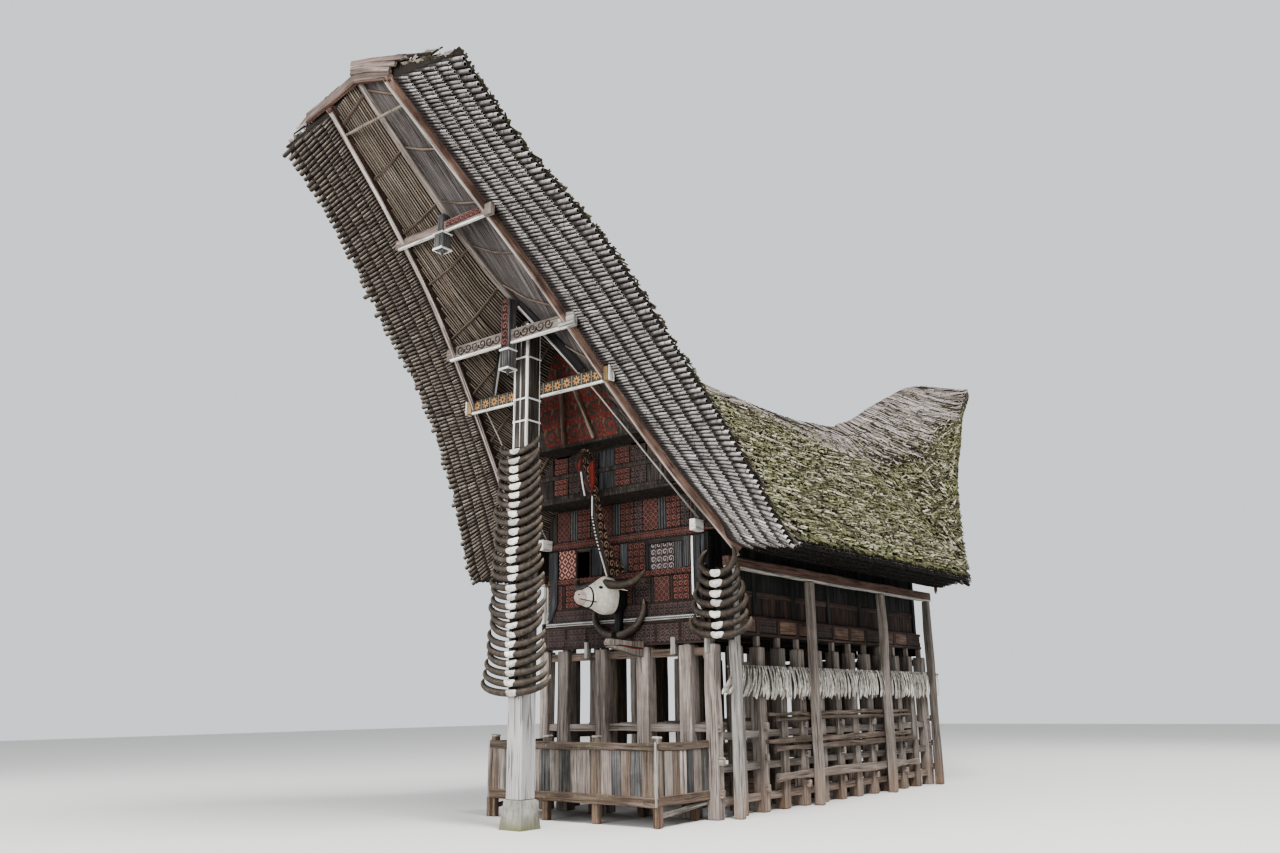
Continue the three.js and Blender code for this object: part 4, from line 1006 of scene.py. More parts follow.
def edge_boards(word, end):
    """Boards along both edges of a lining, with a light strip under them, and boards across the tip."""
    shape = Shape()
    stations = np.linspace(0, LAST, 40)
    for side in (1, -1):
        line = mirror(follow(facing(BOARD, end), stations), side)
        tail = line[-1] + np.array([0, end * 0.07, 0.056])
        line = np.concatenate([line, tail[None]])
        strip = 0.044 if side > 0 else 0.06
        for look, (away, down, wide, high, outline, tone) in enumerate((
            (0.012, 0.025, 0.024, 0.15, chamfered(0.024, 0.15, 0.005), 0.6),
            (0.06, 0.015, 0.022, 0.16, chamfered(0.022, 0.16, 0.005), 0.5),
            (0.05 - strip / 2, 0.11, strip, 0.034, chamfered(0.05, 0.036, 0.006), 0.8),
        )):
            path = line + ACROSS * side * away - UP * down
            shape.bars(path, outline, wide, high, tone=tone, material=look)
    left = [(-1.25, 10.0, 10.2), (-0.63, 10.035, 10.25), (0, 10.09, 10.31)]
    right = [(0, 10.09, 10.31), (0.33, 10.06, 10.22), (0.68, 10.03, 10.11)]
    for line in (facing(np.array(left), end), facing(np.array(right), end)):
        shape.bars(line, chamfered(0.045, 0.1, 0.008), 0.045, 0.15, material=3)
        shape.bars(line - UP * 0.085 + ACROSS * 0.004, SQUARE, 0.05, 0.03, material=0)
    for plank in range(3):
        z = 10.415 + 0.075 * plank
        corner = (0.7 + 0.12 * plank, 10.05, z - 0.25 - 0.03 * plank)
        line = [(-0.1, 10.1, z), (0.3, 10.09, z - 0.11), corner]
        shape.bars(facing(np.array(line), end), chamfered(0.04, 0.074, 0.006), 0.042, 0.074, material=3)
    shape.piece(f"{word}_barge_boards", [REDDISH, ORANGE, LIGHT_STRIP, FASCIA], "brown_timber",
                f"{word}_edge_boards")


def frayed_tip():
    """Split culms that stick out loosely sideways at the right front corner of the roof."""
    shape = Shape()
    n = 40
    place = rng.uniform(0, 1, n)
    y = -9.8 + rng.uniform(-0.12, 0.05, n)
    root = np.stack([0.75 + 0.8 * place, y, 10.34 - 0.27 * place + rng.uniform(-0.03, 0.03, n)], -1)
    reach = rng.uniform(0.15, 0.4, n)
    drop = rng.normal(-0.22, 0.1, n)
    tip = root + np.stack([reach, rng.uniform(-0.03, 0.05, n), reach * drop], -1)
    tip[:, 0] = np.minimum(tip[:, 0], 1.98)
    middle = (root + tip) / 2 + UP * 0.01
    width = rng.uniform(0.03, 0.06, n)[:, None] * np.array([1, 0.9, 0.5])
    shape.bars(np.stack([root, middle, tip], 1), PEAK, width, width * 0.5)
    shape.piece("loose_tip_strips", DRY_SHARD, "mossy_thatch", soft=60)


roof_core()
for side, word, culm, shade, ragged in ((1, "right", CULM, 0, 0.012), (-1, "left", CULM_WARM, 0.06, 0.03)):
    front, slope, rear = f"{word}_front_roof", f"{word}_roof_slope", f"{word}_rear_roof"
    tile_rows(f"{word}_front_tiles", side, FRONT_TIP + 0.02, FRONT_ROOM, front, culm, (0, -0.8, 0.6),
              shade, ragged)
    tile_rows(f"{word}_eave_tiles", side, FRONT_ROOM, REAR_ROOM, slope, CULM_IN_SHADE, (0, -0.6, 0.8), 0.1)
    tile_rows(f"{word}_rear_tiles", side, REAR_ROOM, REAR_TIP - 0.02, rear, culm, (0, 0.8, 0.6))
    shard_courses(f"{word}_front_shards", side, FRONT_TIP, FRONT_ROOM, front, FRONT_SHARD, 0.4)
    shard_courses(f"{word}_slope_shards", side, FRONT_ROOM, REAR_ROOM, slope, SHARD, 1.0)
    shard_courses(f"{word}_rear_shards", side, REAR_ROOM, REAR_TIP, rear, SHARD, 1.0)
frayed_tip()
ridge_strips()
lining("front", FRONT)
lining("rear", REAR)
edge_boards("front", FRONT)
edge_boards("rear", REAR)


def piles():
    """Rows of piles with tie beams through them; the front row is paler."""
    shape = Shape()
    rows = np.linspace(-HALF_LENGTH, HALF_LENGTH, CROSS_ROWS)

    def pile(x, y, size, tenon, rough, look):
        tenon_z = (PILE_TOP - 0.02, FLOOR_FRAME_BOTTOM)
        shape.block(around(x, size / 2), around(y, size / 2), (0, PILE_TOP), 0.014, rough, material=look)
        shape.block(around(x, tenon), around(y, tenon), tenon_z, material=look)

    for y in rows:
        for x in INNER_PILE_X:
            pile(x, y, PILE_SIZE, 0.055, 0.004, 1 if y == rows[0] else 2)
        for z in TIE_LEVELS:
            reach = 1.9 + rng.uniform(-0.02, 0.01, 2)
            middle = z + TIE_HEIGHT / 2
            shape.timber((-reach[0], y, middle), (reach[1], y, middle), TIE_WIDTH, TIE_HEIGHT, rough=0.004)
    for y in (rows[0], rows[-1]):
        shape.block((-1.63, 1.63), around(y, 0.02), (2.43, 2.56), material=2)
    for x in (SIDE_PILE_X, -SIDE_PILE_X):
        for y in np.linspace(-HALF_LENGTH, HALF_LENGTH, SIDE_PILES):
            pile(x, y, SIDE_PILE_SIZE, 0.044, 0.005, 1 if y == -HALF_LENGTH else 0)
        for z in TIE_LEVELS:
            middle = z - TIE_HEIGHT / 2
            shape.timber((x, -HALF_LENGTH, middle), (x, HALF_LENGTH, middle), TIE_WIDTH, 0.118)
    nodes = [f"cross_frame_{k + 1}" for k in range(CROSS_ROWS)] + ["right_pile_row", "left_pile_row"]
    shape.piece("piles_and_ties", [WARM, PINK, BROWN], "grey_timber", *nodes)


def rails():
    """Worn rails that lie on the beam ends outside the right piles."""
    n = 12
    for level, word in enumerate(("lower", "middle", "upper")):
        shape = Shape()
        z = TIE_LEVELS[level] + TIE_HEIGHT
        planks = 1 if level == 0 else 2
        high = RAIL_HEIGHTS[level] / planks
        for k in range(planks):
            start, end = -2.85 + rng.uniform(0, 0.5), 3.3 - rng.uniform(0, 0.5)
            x = 1.872 + rng.normal(0, 0.008, n)
            y = start + (end - start) * np.linspace(0, 1, n)
            path = np.stack([x, y, z + high * (k + 0.5) + rng.normal(0, 0.008, n)], -1)
            width = 0.064 + rng.normal(0, 0.005, n)
            height = high * (0.86 + rng.normal(0, 0.06, n))
            height[[0, 1, -2, -1]] *= rng.uniform(0.5, 0.9, 4)
            shape.bars(path, chamfered(0.064, high, 0.012), width, height, tone=0.4 + 0.3 * k)
        shape.piece(f"{word}_side_rail", RUSTY if level else WARM, "grey_timber", f"right_rail_{word}")


def floor_parts():
    """Floor beams and joists, floor planks, the painted ledge and the carved boards along the sides."""
    shape = Shape()
    for x in INNER_PILE_X + [FLOOR_HALF_WIDTH - 0.06, 0.06 - FLOOR_HALF_WIDTH]:
        beam_z = (FLOOR_FRAME_BOTTOM, FLOOR_FRAME_BOTTOM + 0.14)
        shape.block(around(x, 0.06), (-FLOOR_END, FLOOR_END), beam_z)
    for y in np.linspace(-HALF_LENGTH, HALF_LENGTH, CROSS_ROWS):
        shape.block((-FLOOR_HALF_WIDTH, FLOOR_HALF_WIDTH), around(y, 0.045), (2.88, FLOOR_BOTTOM))
    for x in (-0.73, 1.08, 1.73):
        shape.block(around(x, 0.04), (-4.2, -4.1), (2.46, 2.73), 0.006, 0.001, material=1)
    for x0, x1 in boards(np.linspace(*ROOM_X, 8), 0):
        y, z = (-FLOOR_END - 0.008, 0.03 - FLOOR_END), (2.66, 2.96)
        shape.block((x0 + 0.03, x1 - 0.03), y, z, 0.008, 0.001, material=3, cells=(0, 2, x0, z[0], 0.1))
        shape.block((x0 + 0.01, x1 - 0.01), (FLOOR_END - 0.035, FLOOR_END), (2.63, 2.99), 0.008, material=2)
    shape.block(ROOM_X, (-FLOOR_END, 0.035 - FLOOR_END), (2.62, 2.995), material=2)
    for z in (2.64, 2.98):
        shape.block(ROOM_X, (-4.172, -4.13), around(z, 0.018), 0.005, 0.002, material=2)
    shape.piece("floor_beams", [DARK, PALE, DIM_RED, DARK_SCROLLS], "dark_timber", "floor_frame")

    shape = Shape()
    for x in boards(np.linspace(-FLOOR_HALF_WIDTH, FLOOR_HALF_WIDTH, 17), 0.002):
        shape.block(x, (-4.11, 4.11), (FLOOR_BOTTOM, FLOOR_TOP), 0.004)
    shape.piece("floor_planks", BROWN, "brown_timber", "floor")

    shape = Shape()
    shape.block((-1.69, 1.69), (-4.165, -4.11), (3.02, 3.075), *FINE, cells=(0, 2, 0, 3.0, 0.045))
    shape.piece("painted_ledge", ZIGZAG, "grey_timber", "front_ledge")

    for side, word in SIDES:
        shape = Shape()
        for k, (y0, y1) in enumerate(boards(np.linspace(-FACADE_Y, FACADE_Y, 13), 0)):
            x, y, z = outward(side, 1.7603, 1.795), (y0 + 0.06, y1 - 0.06), (2.84, 3.05)
            if k % 3 == 2:
                shape.block(x, y, z, 0.006, 0.001, material=1, cells=(1, 2, y0, z[0], 0.105))
            else:
                shape.block(x, y, z, 0.006, 0.002, material=2)
            shape.block(outward(side, 1.757, 1.8), around(y0, 0.055), (2.79, 3.09), 0.006)
        for z in (2.8, 3.07):
            shape.block(outward(side, 1.7605, 1.798), (-FACADE_Y, FACADE_Y), around(z, 0.025))
        shape.piece(f"{word}_sill_carving", [DIM_RED, DARK_SCROLLS, SILL_BOARD], "carved_timber",
                    f"{word}_sill_board")


def side_walls():
    """Dark upright planks over a row of reddish panels, between posts, with the plate on top."""
    for side, word in SIDES:
        shape = Shape()
        plank_x = outward(side, 1.655, 1.695)
        # Planks and panels are painted darker for the shade under the eave
        for y in boards(np.linspace(-HALF_LENGTH, HALF_LENGTH, 55), 0.003):
            shape.block(plank_x, y, (3.52, SIDE_WALL_TOP), 0.005)
            shape.block(plank_x, y, (3.12, 3.44), 0.005, material=1)
        for z in ((3.05, 3.125), (3.43, 3.53)):
            shape.block(outward(side, 1.65, 1.712), (-HALF_LENGTH, HALF_LENGTH), z, material=1)
        for y in np.linspace(-4.0, 4.0, 7):
            z = (FLOOR_TOP, SIDE_WALL_TOP + 0.02)
            shape.block(outward(side, 1.645, 1.73), around(y, 0.065), z, 0.01)
        shape.block(outward(side, 1.59, 1.7), (-4.36, 4.36), (SIDE_WALL_TOP, PLATE_TOP), 0.01)
        z = (SIDE_WALL_TOP - 0.005, PLATE_TOP)
        shape.block(outward(side, 1.586, 1.704), (-4.37, -4.12), z, 0.006, material=2)
        shape.piece(f"{word}_wall_planks", [BLACK, DIM_RED, WHITE_PAINT], "dark_timber", f"{word}_wall")


def eave_frames():
    """Outer posts, the first one paler, with the beam that they carry."""
    low, high = EAVE_BEAM_Z
    half = EAVE_POST_SIZE / 2
    for side, word in SIDES:
        shape = Shape()
        x = side * EAVE_POST_X
        for y in EAVE_POSTS_Y:
            look = 1 if y == EAVE_POSTS_Y[0] else 0
            shape.block(around(x, half), around(y, half), (0, low), 0.016, 0.006, material=look)
        shape.block(around(x, 0.06), (-3.96, 4.23), (low + 0.03, high), 0.012, 0.005, material=2)
        shape.block(around(x, 0.062), (-3.95, 4.22), (low, low + 0.032), 0.008, 0.004, material=1)
        shape.piece(f"{word}_eave_timbers", [WARM, PALE, REDDISH], "grey_timber", f"{word}_eave_frame")


def lining_height(x, y):
    """Height of the lining's underside over a point of the plan."""
    x, y = np.broadcast_arrays(np.abs(np.asarray(x, float)), np.asarray(y, float))
    t = np.interp(np.abs(y), APEX[:, 1], np.arange(LAST + 1))
    u = np.where(y < 0, LAST - t, REAR_ROOM + t)
    half = follow(INNER_LINE, u)[..., 0]
    share = x / half
    inside = lining_point(u, np.minimum(share, 1), 1)[..., 2]
    return inside - np.maximum(share - 1, 0) * half * 3


def gable_panel(shape, x, z, face, end, thickness=0.03, material=0, cell=None):
    """Upright panel cut off by the lining. face is the y of its outer face, or a function of z."""

    def face_at(height):
        return face(height) if callable(face) else np.full(np.shape(height), float(face))

    n = 7
    across = np.linspace(x[0], x[1], n)
    top = np.full(n, float(z[1]))
    for _ in range(TRIM_STEPS):
        top = np.minimum(z[1], 0.5 * top + 0.5 * (lining_height(across, face_at(top)) - 0.015))
    if top.max() < z[0] + 0.02:
        return
    top = np.maximum(top, z[0] + 0.002)
    outline = np.concatenate([np.stack([across, np.full(n, z[0])], -1), np.stack([across, top], -1)[::-1]])
    front = np.stack([outline[:, 0], face_at(outline[:, 1]), outline[:, 1]], -1)
    back = front - np.array([0, end * thickness, 0])
    shape.loft([front, back], rng.uniform(0, 1), material, cells=cell and (0, 2, x[0], z[0], cell))


def front_wall():
    """Painted and carved panels between dark red rails, with the window left open."""
    shape = Shape()
    y = -FACADE_Y
    looks = [DARK, BLUISH, RED_CIRCLES, RED_SCROLLS, RED_FRET, GREY_ROWS, DIM_RED, DARK_SCROLLS]
    dark, bluish, circles, scrolls, fret, rows, red, dim = range(len(looks))
    back = (y + 0.015, y + 0.045)
    for x, z in ((ROOM_X, (FLOOR_TOP, WINDOW_Z[0])), (ROOM_X, (WINDOW_Z[1], FACADE_TOP)),
                 ((-1.7, -1.03), WINDOW_Z), ((-0.7, 0.56), WINDOW_Z), ((1.26, 1.7), WINDOW_Z)):
        shape.block(x, back, z, material=dark)

    def panel(x0, x1, z0, z1, material, cell=0.11, proud=0.004):
        cells = None if material in (dark, bluish, red) else (0, 2, x0, z0, cell)
        shape.block((x0 + 0.008, x1 - 0.008), (y - proud, y + 0.02), (z0, z1), 0.006, 0.0008,
                    material=material, cells=cells)

    for x0, x1, material, cell in (
        (-1.7, -1.52, bluish, 0), (-1.52, -1.45, red, 0), (-1.45, -1.045, fret, 0.155),
        (-0.7, -0.43, bluish, 0), (-0.43, -0.06, scrolls, 0.123), (-0.06, 0.12, bluish, 0),
        (0.12, 0.5, scrolls, 0.121), (0.5, 0.56, bluish, 0), (1.26, 1.4, rows, 0.04),
        (1.4, 1.46, red, 0), (1.6, 1.7, bluish, 0),
    ):
        panel(x0, x1, 3.85, 4.35, material, cell)
    for k, x0 in enumerate(np.arange(-1.68, 1.4, 0.39)):
        panel(x0, x0 + 0.33, 3.32, 3.73, (circles, scrolls, dim)[k % 3], 0.105)
        panel(x0 + 0.33, x0 + 0.39, 3.32, 3.73, dark)
    panel(-1.69, 1.62, 3.1, 3.3, dim, 0.095)
    for z0, z1, material, proud in ((4.365, 4.47, scrolls, 0.025), (3.74, 3.84, scrolls, 0.025),
                                    (3.295, 3.325, red, 0.015), (3.06, 3.1, bluish, 0.03)):
        panel(*ROOM_X, z0, z1, material, 0.105, proud)
    for x in ((-1.045, -1.01), (-0.72, -0.685)):
        shape.block(x, (y - 0.02, y + 0.045), (3.81, 4.33), material=red)
    shape.piece("facade_panels", looks, "carved_timber", "front_wall")

    shape = Shape()
    shape.block((0.565, 1.255), (y + 0.012, y + 0.035), (3.815, 4.285), *FINE)
    for x, material, cell in (((0.6, 1.08), 1, 0.12), ((1.1, 1.24), 2, 0.035)):
        shape.block(x, (y + 0.002, y + 0.014), (3.83, 4.275), 0.004, 0.0005, material=material,
                    cells=(0, 2, x[0], 3.83, cell))
    shape.piece("carved_shutter", [BLUISH, WHITE_SCROLLS, GREY_ROWS], "carved_timber", "front_shutter")

    outline = np.array([(1.45, 3.4), (1.45, 4.33), (1.62, 4.33), (1.62, 3.42), (1.69, 3.15), (1.6, 3.11)])
    edge = outline[[1, 0, 5]]
    for side, word in SIDES:
        shape = Shape()
        rings = [np.stack([side * outline[:, 0], np.full(len(outline), y - depth), outline[:, 1]], -1)
                 for depth in (0.006, 0.026)]
        worn = rings[1] * 0.97 + rings[1].mean(0) * 0.03 + np.array([0, -0.006, 0])
        shape.loft([rings[0], rings[1], worn], 0.6)
        line = np.stack([side * (edge[:, 0] + 0.018), np.full(len(edge), y - 0.034), edge[:, 1]], -1)
        shape.bars(line, SQUARE, 0.036, 0.016, (0, -1, 0), tone=0.7, material=1 if side > 0 else 0)
        shape.piece(f"{word}_edged_board", [BLUISH, WHITE_PAINT], "bone", f"{word}_pilaster")


def rear_wall():
    """Plain planks between posts and rails."""
    shape = Shape()
    y = FACADE_Y
    for x in boards(np.linspace(*ROOM_X, 20), 0.003):
        shape.block(x, (y - 0.045, y - 0.008), (3.1, 4.4), 0.005)
    for x in (-1.64, -0.55, 0.55, 1.64):
        shape.block(around(x, 0.06), (y - 0.045, y + 0.012), (FLOOR_TOP, FACADE_TOP), 0.01)
    for z in ((FLOOR_TOP, 3.13), (3.74, 3.84), (4.36, FACADE_TOP)):
        shape.block(ROOM_X, (y - 0.045, y + 0.008), z, material=1)
    shape.piece("rear_wall_planks", [DARK, BROWN], "dark_timber", "rear_wall")


def gable(word, end):
    """Gable panels in three steps that lean outwards, cut along the lining. Only the front is carved."""
    front = end == FRONT
    looks = [DARK, BLUISH, RED_CIRCLES, RED_SCROLLS, DARK_SCROLLS, GREY_ROWS, RED_CURLS, BROWN]
    dark, bluish, circles, scrolls, dim, rows, curls, brown = range(len(looks))
    plain = (dark, bluish)

    def look_of(pattern, k, x, reach):
        """Material of panel k; it is plain at the rear and beyond the reach of the carving."""
        if not front:
            return plain[k % 2]
        # Beyond the reach of the carving the panels are dark, as painted shade at the gable's edges
        return pattern[k % 4] if abs(x) <= reach else dark

    shape = Shape()
    y = end * FACADE_Y
    lower, middle, upper = (-2.1, 2.1), (-1.9, 1.9), (-1.5, 1.5)
    gable_panel(shape, lower, (FACADE_TOP + 0.002, 5.08), y - end * 0.015, end, 0.03)
    x, k = -1.98, 0
    while x < 1.95:
        wide = (0.3, 0.19, 0.32, 0.16)[k % 4]
        look = look_of((scrolls, dim, circles, rows), k, x + wide / 2, 1.55)
        cell = None if look in plain else 0.06 if look == rows else 0.106
        gable_panel(shape, (x + 0.008, x + wide - 0.008), (4.52, 5.05), y + end * 0.004, end, 0.022, look,
                    cell)
        x += wide
        k += 1
    look, cell = (scrolls, 0.06) if front else (dark, None)
    gable_panel(shape, lower, (4.4, 4.49), y + end * 0.03, end, 0.03, look, cell)
    for y0, y1 in ((4.06, 4.4), (4.4, 4.72)):
        gable_panel(shape, middle, (5.075, 5.13), end * y1, end, y1 - y0)
    slot = "carved_timber" if front else "dark_timber"
    shape.piece(f"{word}_gable_panels", looks, slot, f"{word}_gable_lower")

    shape = Shape()
    face = end * 4.7
    gable_panel(shape, middle, (5.13, 5.9), face - end * 0.01, end, 0.03)
    for z in ((5.2, 5.49), (5.57, 5.86)):
        for k, x0 in enumerate(np.arange(-1.7, 1.8, 0.34)):
            look = look_of((dim, bluish, scrolls, dim), k, x0 + 0.155, 1.1)
            cell = None if look in plain else 0.1
            gable_panel(shape, (x0, x0 + 0.31), z, face + end * 0.008, end, 0.02, look, cell)
    for z in ((5.13, 5.19), (5.495, 5.56)):
        gable_panel(shape, middle, z, face + end * 0.03, end, 0.04)
    for y0, y1 in ((4.66, 4.95), (4.95, 5.19)):
        gable_panel(shape, upper, (5.9, 5.95), end * y1, end, y1 - y0)

    def leaning(height):
        return end * (5.175 + (np.asarray(height) - 5.945) * 0.366)

    # Outside the middle the top panels are dark, as painted shade at the gable's edges
    for x0 in np.arange(-1.3, 1.3, 0.26):
        look, cell = (curls, 0.3) if front and abs(x0 + 0.13) < 0.8 else (dark, None)
        gable_panel(shape, (x0, x0 + 0.255), (5.945, 8.2), leaning, end, 0.04, look, cell)
    for side in (-1, 1):
        foot, head = (side * 0.33, end * 5.24, 5.95), (side * 0.12, end * 5.6, 6.92)
        shape.timber(foot, head, 0.07, 0.05, ACROSS, material=brown)
    slot = "red_timber" if front else "dark_timber"
    shape.piece(f"{word}_gable_top", looks, slot, f"{word}_gable_upper")


def curl(shape, x, z, y, size, turn, material):
    """Flat painted spiral with a tail, on a face that looks to the front."""
    n = 22
    t = np.linspace(0, 1, n)
    angle = turn * (t * 2 * np.pi * 1.35) + (np.pi if turn > 0 else 0)
    radius = size * (1 - 0.82 * t)
    path = np.stack([x + radius * np.cos(angle), np.full(n, y), z + radius * np.sin(angle)], -1)
    shape.bars(path, SQUARE, size * 0.2 * (1 - 0.4 * t), 0.008, (0, -1, 0), material=material)


def lantern(shape, y, z0, z1, half=0.1):
    """Slatted block at the foot of a hanging post, with white rims and a knob under it."""
    heights = np.array([z0 + 0.012, z0 + 0.05, z1 - 0.03, z1])
    sizes = half * np.array([0.97, 0.9, 0.8, 0.86])
    corners = np.array([(1, 1), (-1, 1), (-1, -1), (1, -1)])
    rings = [np.concatenate([corners * size + (0, y), np.full((4, 1), z)], 1)
             for size, z in zip(sizes, heights)]
    shape.loft(rings, 0.5, 4)
    upright = around((z0 + z1) / 2, (z1 - z0) / 2 - 0.045)
    face = 0.87 * half
    for offset in half * np.array([-0.66, -0.22, 0.22, 0.66]):
        slat = around(offset, 0.014)
        shape.block(slat, (y - face - 0.008, y - face + 0.01), upright, *SLAT, material=4)
        for x in ((-face - 0.008, 0.01 - face), (face - 0.01, face + 0.008)):
            shape.block(x, (y + slat[0], y + slat[1]), upright, *SLAT, material=4)
    for side in (-1, 1):
        edge = outward(side, half - 0.014, half + 0.004)
        for z in ((z0, z0 + 0.03), (z1 - 0.026, z1)):
            shape.block(edge, around(y, half + 0.004), z, *SLAT, material=1)
            shape.block((-half, half), (y + edge[0], y + edge[1]), z, *SLAT, material=1)
    knob = [(0, y, z0 + z) for z in (0.014, -0.02, -0.05, -0.08)]
    thick = np.array([0.1, 0.06, 0.05, 0.012])
    shape.bars(knob, ROUND, thick, thick, (0, 1, 0), material=4)


def painted_beam(shape, beam, rough, strip_x, strip_z, end_x, end_chamfer, tone=None):
    """Beam across the prow with a white strip along its lower edge and a pale right end."""
    half, y, z = beam
    shape.block((-half, half), y, z, 0.008, rough, tone)
    shape.block(strip_x, (y[0] - 0.006, y[0] + 0.048), strip_z, *FINE, material=1)
    shape.block(end_x, (y[0] - 0.01, y[1] + 0.008), (z[0] - 0.02, z[1] + 0.005), end_chamfer, material=2)


def prow_beams():
    """Three beams across the front prow; two carry a hanging post, and braces rise from the lowest one."""
    shape = Shape()
    half, (front, back), (low, high) = LOWER_BEAM
    shape.block((-half, half), (front, back), (low, high), 0.008, 0.001, cells=(0, 2, 0, low, 0.2))
    shape.block(around(0, half - 0.12), (front - 0.008, front + 0.045), (low - 0.03, low + 0.005), *FINE,
                material=1)
    for x in (0.04 - half, half - 0.04):
        y, z = (front - 0.007, back + 0.004), (low - 0.01, high + 0.01)
        shape.block(around(x, 0.06), y, z, 0.006, material=2)
        y, z = (front - 0.01, back + 0.006), (low - 0.02, high + 0.02)
        shape.block(around(x * 1.035, 0.012), y, z, 0.004, material=1)
    for side in (1, -1):
        foot, head = np.array([side * 0.92, -6.3, 6.66]), np.array([side * 0.12, -6.86, 7.82])
        shape.timber(foot, head, 0.03, 0.045, tone=0.7, material=3)
        # A black board beside each brace paints the shade between the brace and the lining
        lift = np.array([side * 0.05, 0, 0.06])
        shape.timber(foot + lift, head + lift, 0.02, 0.12, tone=0.5, material=4)
    shape.piece("flower_beam", [FLOWERS, WHITE_PAINT, GOLDEN, PALE, BLACK], "carved_timber",
                "lower_prow_beam")

    shape = Shape()
    painted_beam(shape, MIDDLE_BEAM, 0.001, (-1.3, 1.25), (7.165, 7.205), (1.08, 1.4), 0.012, 0.35)
    for side, curls in ((-1, 6), (1, 5)):
        for k in range(curls):
            curl(shape, side * (0.22 + 0.165 * k), 7.305, -6.986, 0.085, side * (1 if k % 2 else -1), 3)
    shape.block((-0.088, 0.088), (-7.026, -6.852), (7.05, 7.92), 0.01, 0.001, material=4)
    shape.block((-0.07, 0.07), (-7.03, -7.0), (7.12, 7.9), *FINE, material=5,
                cells=(0, 2, -0.07, 7.12, 0.14))
    lantern(shape, -6.94, 6.75, 7.09)
    shape.piece("scroll_beam", [PINK, WHITE_PAINT, PALE, DARK, BLUISH_PLANK, RED_SCROLLS], "carved_timber",
                "middle_prow_beam")

    shape = Shape()
    painted_beam(shape, UPPER_BEAM, 0.002, (-0.98, 0.9), (8.54, 8.57), (0.9, 1.055), 0.01)
    shape.block((0.1, 0.85), (-8.412, -8.36), (8.6, 8.7), *FINE, material=3, cells=(0, 2, 0.1, 8.6, 0.1))
    shape.block((-0.06, 0.06), (-8.43, -8.31), (8.5, 8.845), 0.01, 0.001, material=4)
    lantern(shape, -8.37, 8.26, 8.54)
    shape.piece("high_beam", [FASCIA, WHITE_PAINT, PINK, RED_SCROLLS, BLUISH_PLANK], "brown_timber",
                "upper_prow_beam")

    shape = Shape()
    half, y, z, n = TIP_POLE.values()
    path = np.stack([np.linspace(-half, half, n), np.full(n, y), z + rng.normal(0, 0.004, n)], -1)
    thick = 0.042 + 0.006 * (np.arange(n) % 2)
    shape.bars(path, ROUND, thick, thick, tone=0.62)
    shape.piece("tip_culm", CULM_WARM, "bamboo_tile", "tip_pole")


def front_post():
    """Tall post on its tapered foot: smooth below the horns, dark with narrow white strips above them."""
    shape = Shape()
    half = POST_SIZE / 2
    face = POST_Y - half
    strip_z = (5.5, POST_TOP - 0.05)
    shape.block((-half, half), around(POST_Y, half), (POST_BASE_TOP, 1.9), 0.012, 0.001, tone=0.6)
    # From the foot of the horns upwards the post is painted dark, for the shade between the horns
    shape.block((-half, half), around(POST_Y, half), (1.88, POST_TOP), 0.012, 0.002, tone=0.6, material=1)
    for offset, strip in ((-0.128, 0.018), (0.128, 0.018), (0.0, 0.006)):
        shape.block(around(offset, strip), (face - 0.005, face + 0.01), strip_z, *STRIP_EDGE, material=2)
    for offset, strip in ((-0.135, 0.01), (0.125, 0.007)):
        for side in (-1, 1):
            x = outward(side, half - 0.01, half + 0.005)
            shape.block(x, around(POST_Y + offset, strip), strip_z, *STRIP_EDGE, material=2)
    wide = half + 0.008
    for z in (5.98, 6.34, 7.02):
        shape.block((-wide, wide), around(POST_Y, wide), (z, z + 0.03), 0.005, 0.001, material=2)
    shape.piece("tall_post", [SMOOTH, DARK_POST, WHITE_PAINT], "grey_timber", "front_post")

    shape = Shape()
    rings = []
    for z, size in ((0.0, 0.43), (0.012, 0.43), (0.2, 0.388), (0.39, 0.347), (POST_BASE_TOP, 0.335)):
        outline = chamfered(size, size, 0.012) * size
        rings.append(np.concatenate([outline + (0, POST_Y), np.full((8, 1), z)], 1))
    shape.loft(rings)
    shape.piece("post_foot", CONCRETE, "concrete", "front_post_base")


def horn_pair(shape, x, y, z, span, lift, thick=0.06, turn=1.65, material=0, sweep=0.09, droop=0.0):
    """Two horns that go out from the middle and up to their tips. turn is how far each one curls,
    sweep how far it runs back towards the wall, and droop how far it sinks before it rises."""
    t = np.linspace(0, 1, 14)
    angle = 0.1 + turn * t
    for side in (-1, 1):
        wide = span / 2 * rng.uniform(0.94, 1.03)
        away = side * wide * np.sin(angle) / np.sin(min(0.1 + turn, np.pi / 2))
        rise = lift * (1 - np.cos(angle)) - droop * np.sin(np.pi * t)
        path = np.stack([x + away, y + sweep * t ** 2, z + rise], -1)
        path += rng.normal(0, 0.004, (1, 3))
        path[:, 2] += rng.normal(0, 0.03) * t
        size = 2 * thick * (1 - t ** 1.7) ** 0.6 * (1 + 0.03 * np.sin(t * 40)) + 0.008
        shape.bars(path, ROUND_FINE, size * 0.86, size, (0, -1, 0), tone=t * 0.95, material=material)


def forehead(shape, x, y, z, width, height):
    """Rounded piece of skull between two horns; its ends turn up."""
    t = np.array([-1, -0.86, -0.5, 0, 0.5, 0.86, 1])
    tilt = rng.normal(0, 0.06)
    path = np.stack([x + t * width / 2, y + 0.02 * t ** 2, z + height * (0.3 * t ** 2 + tilt * t)], -1)
    high = height * np.array([0.3, 0.68, 0.92, 1.0, 0.92, 0.68, 0.3]) * rng.uniform(0.85, 1.08)
    deep = np.array([0.02, 0.05, 0.07, 0.076, 0.07, 0.05, 0.02])
    shape.bars(path, ROUND_FINE, deep, high, material=1)


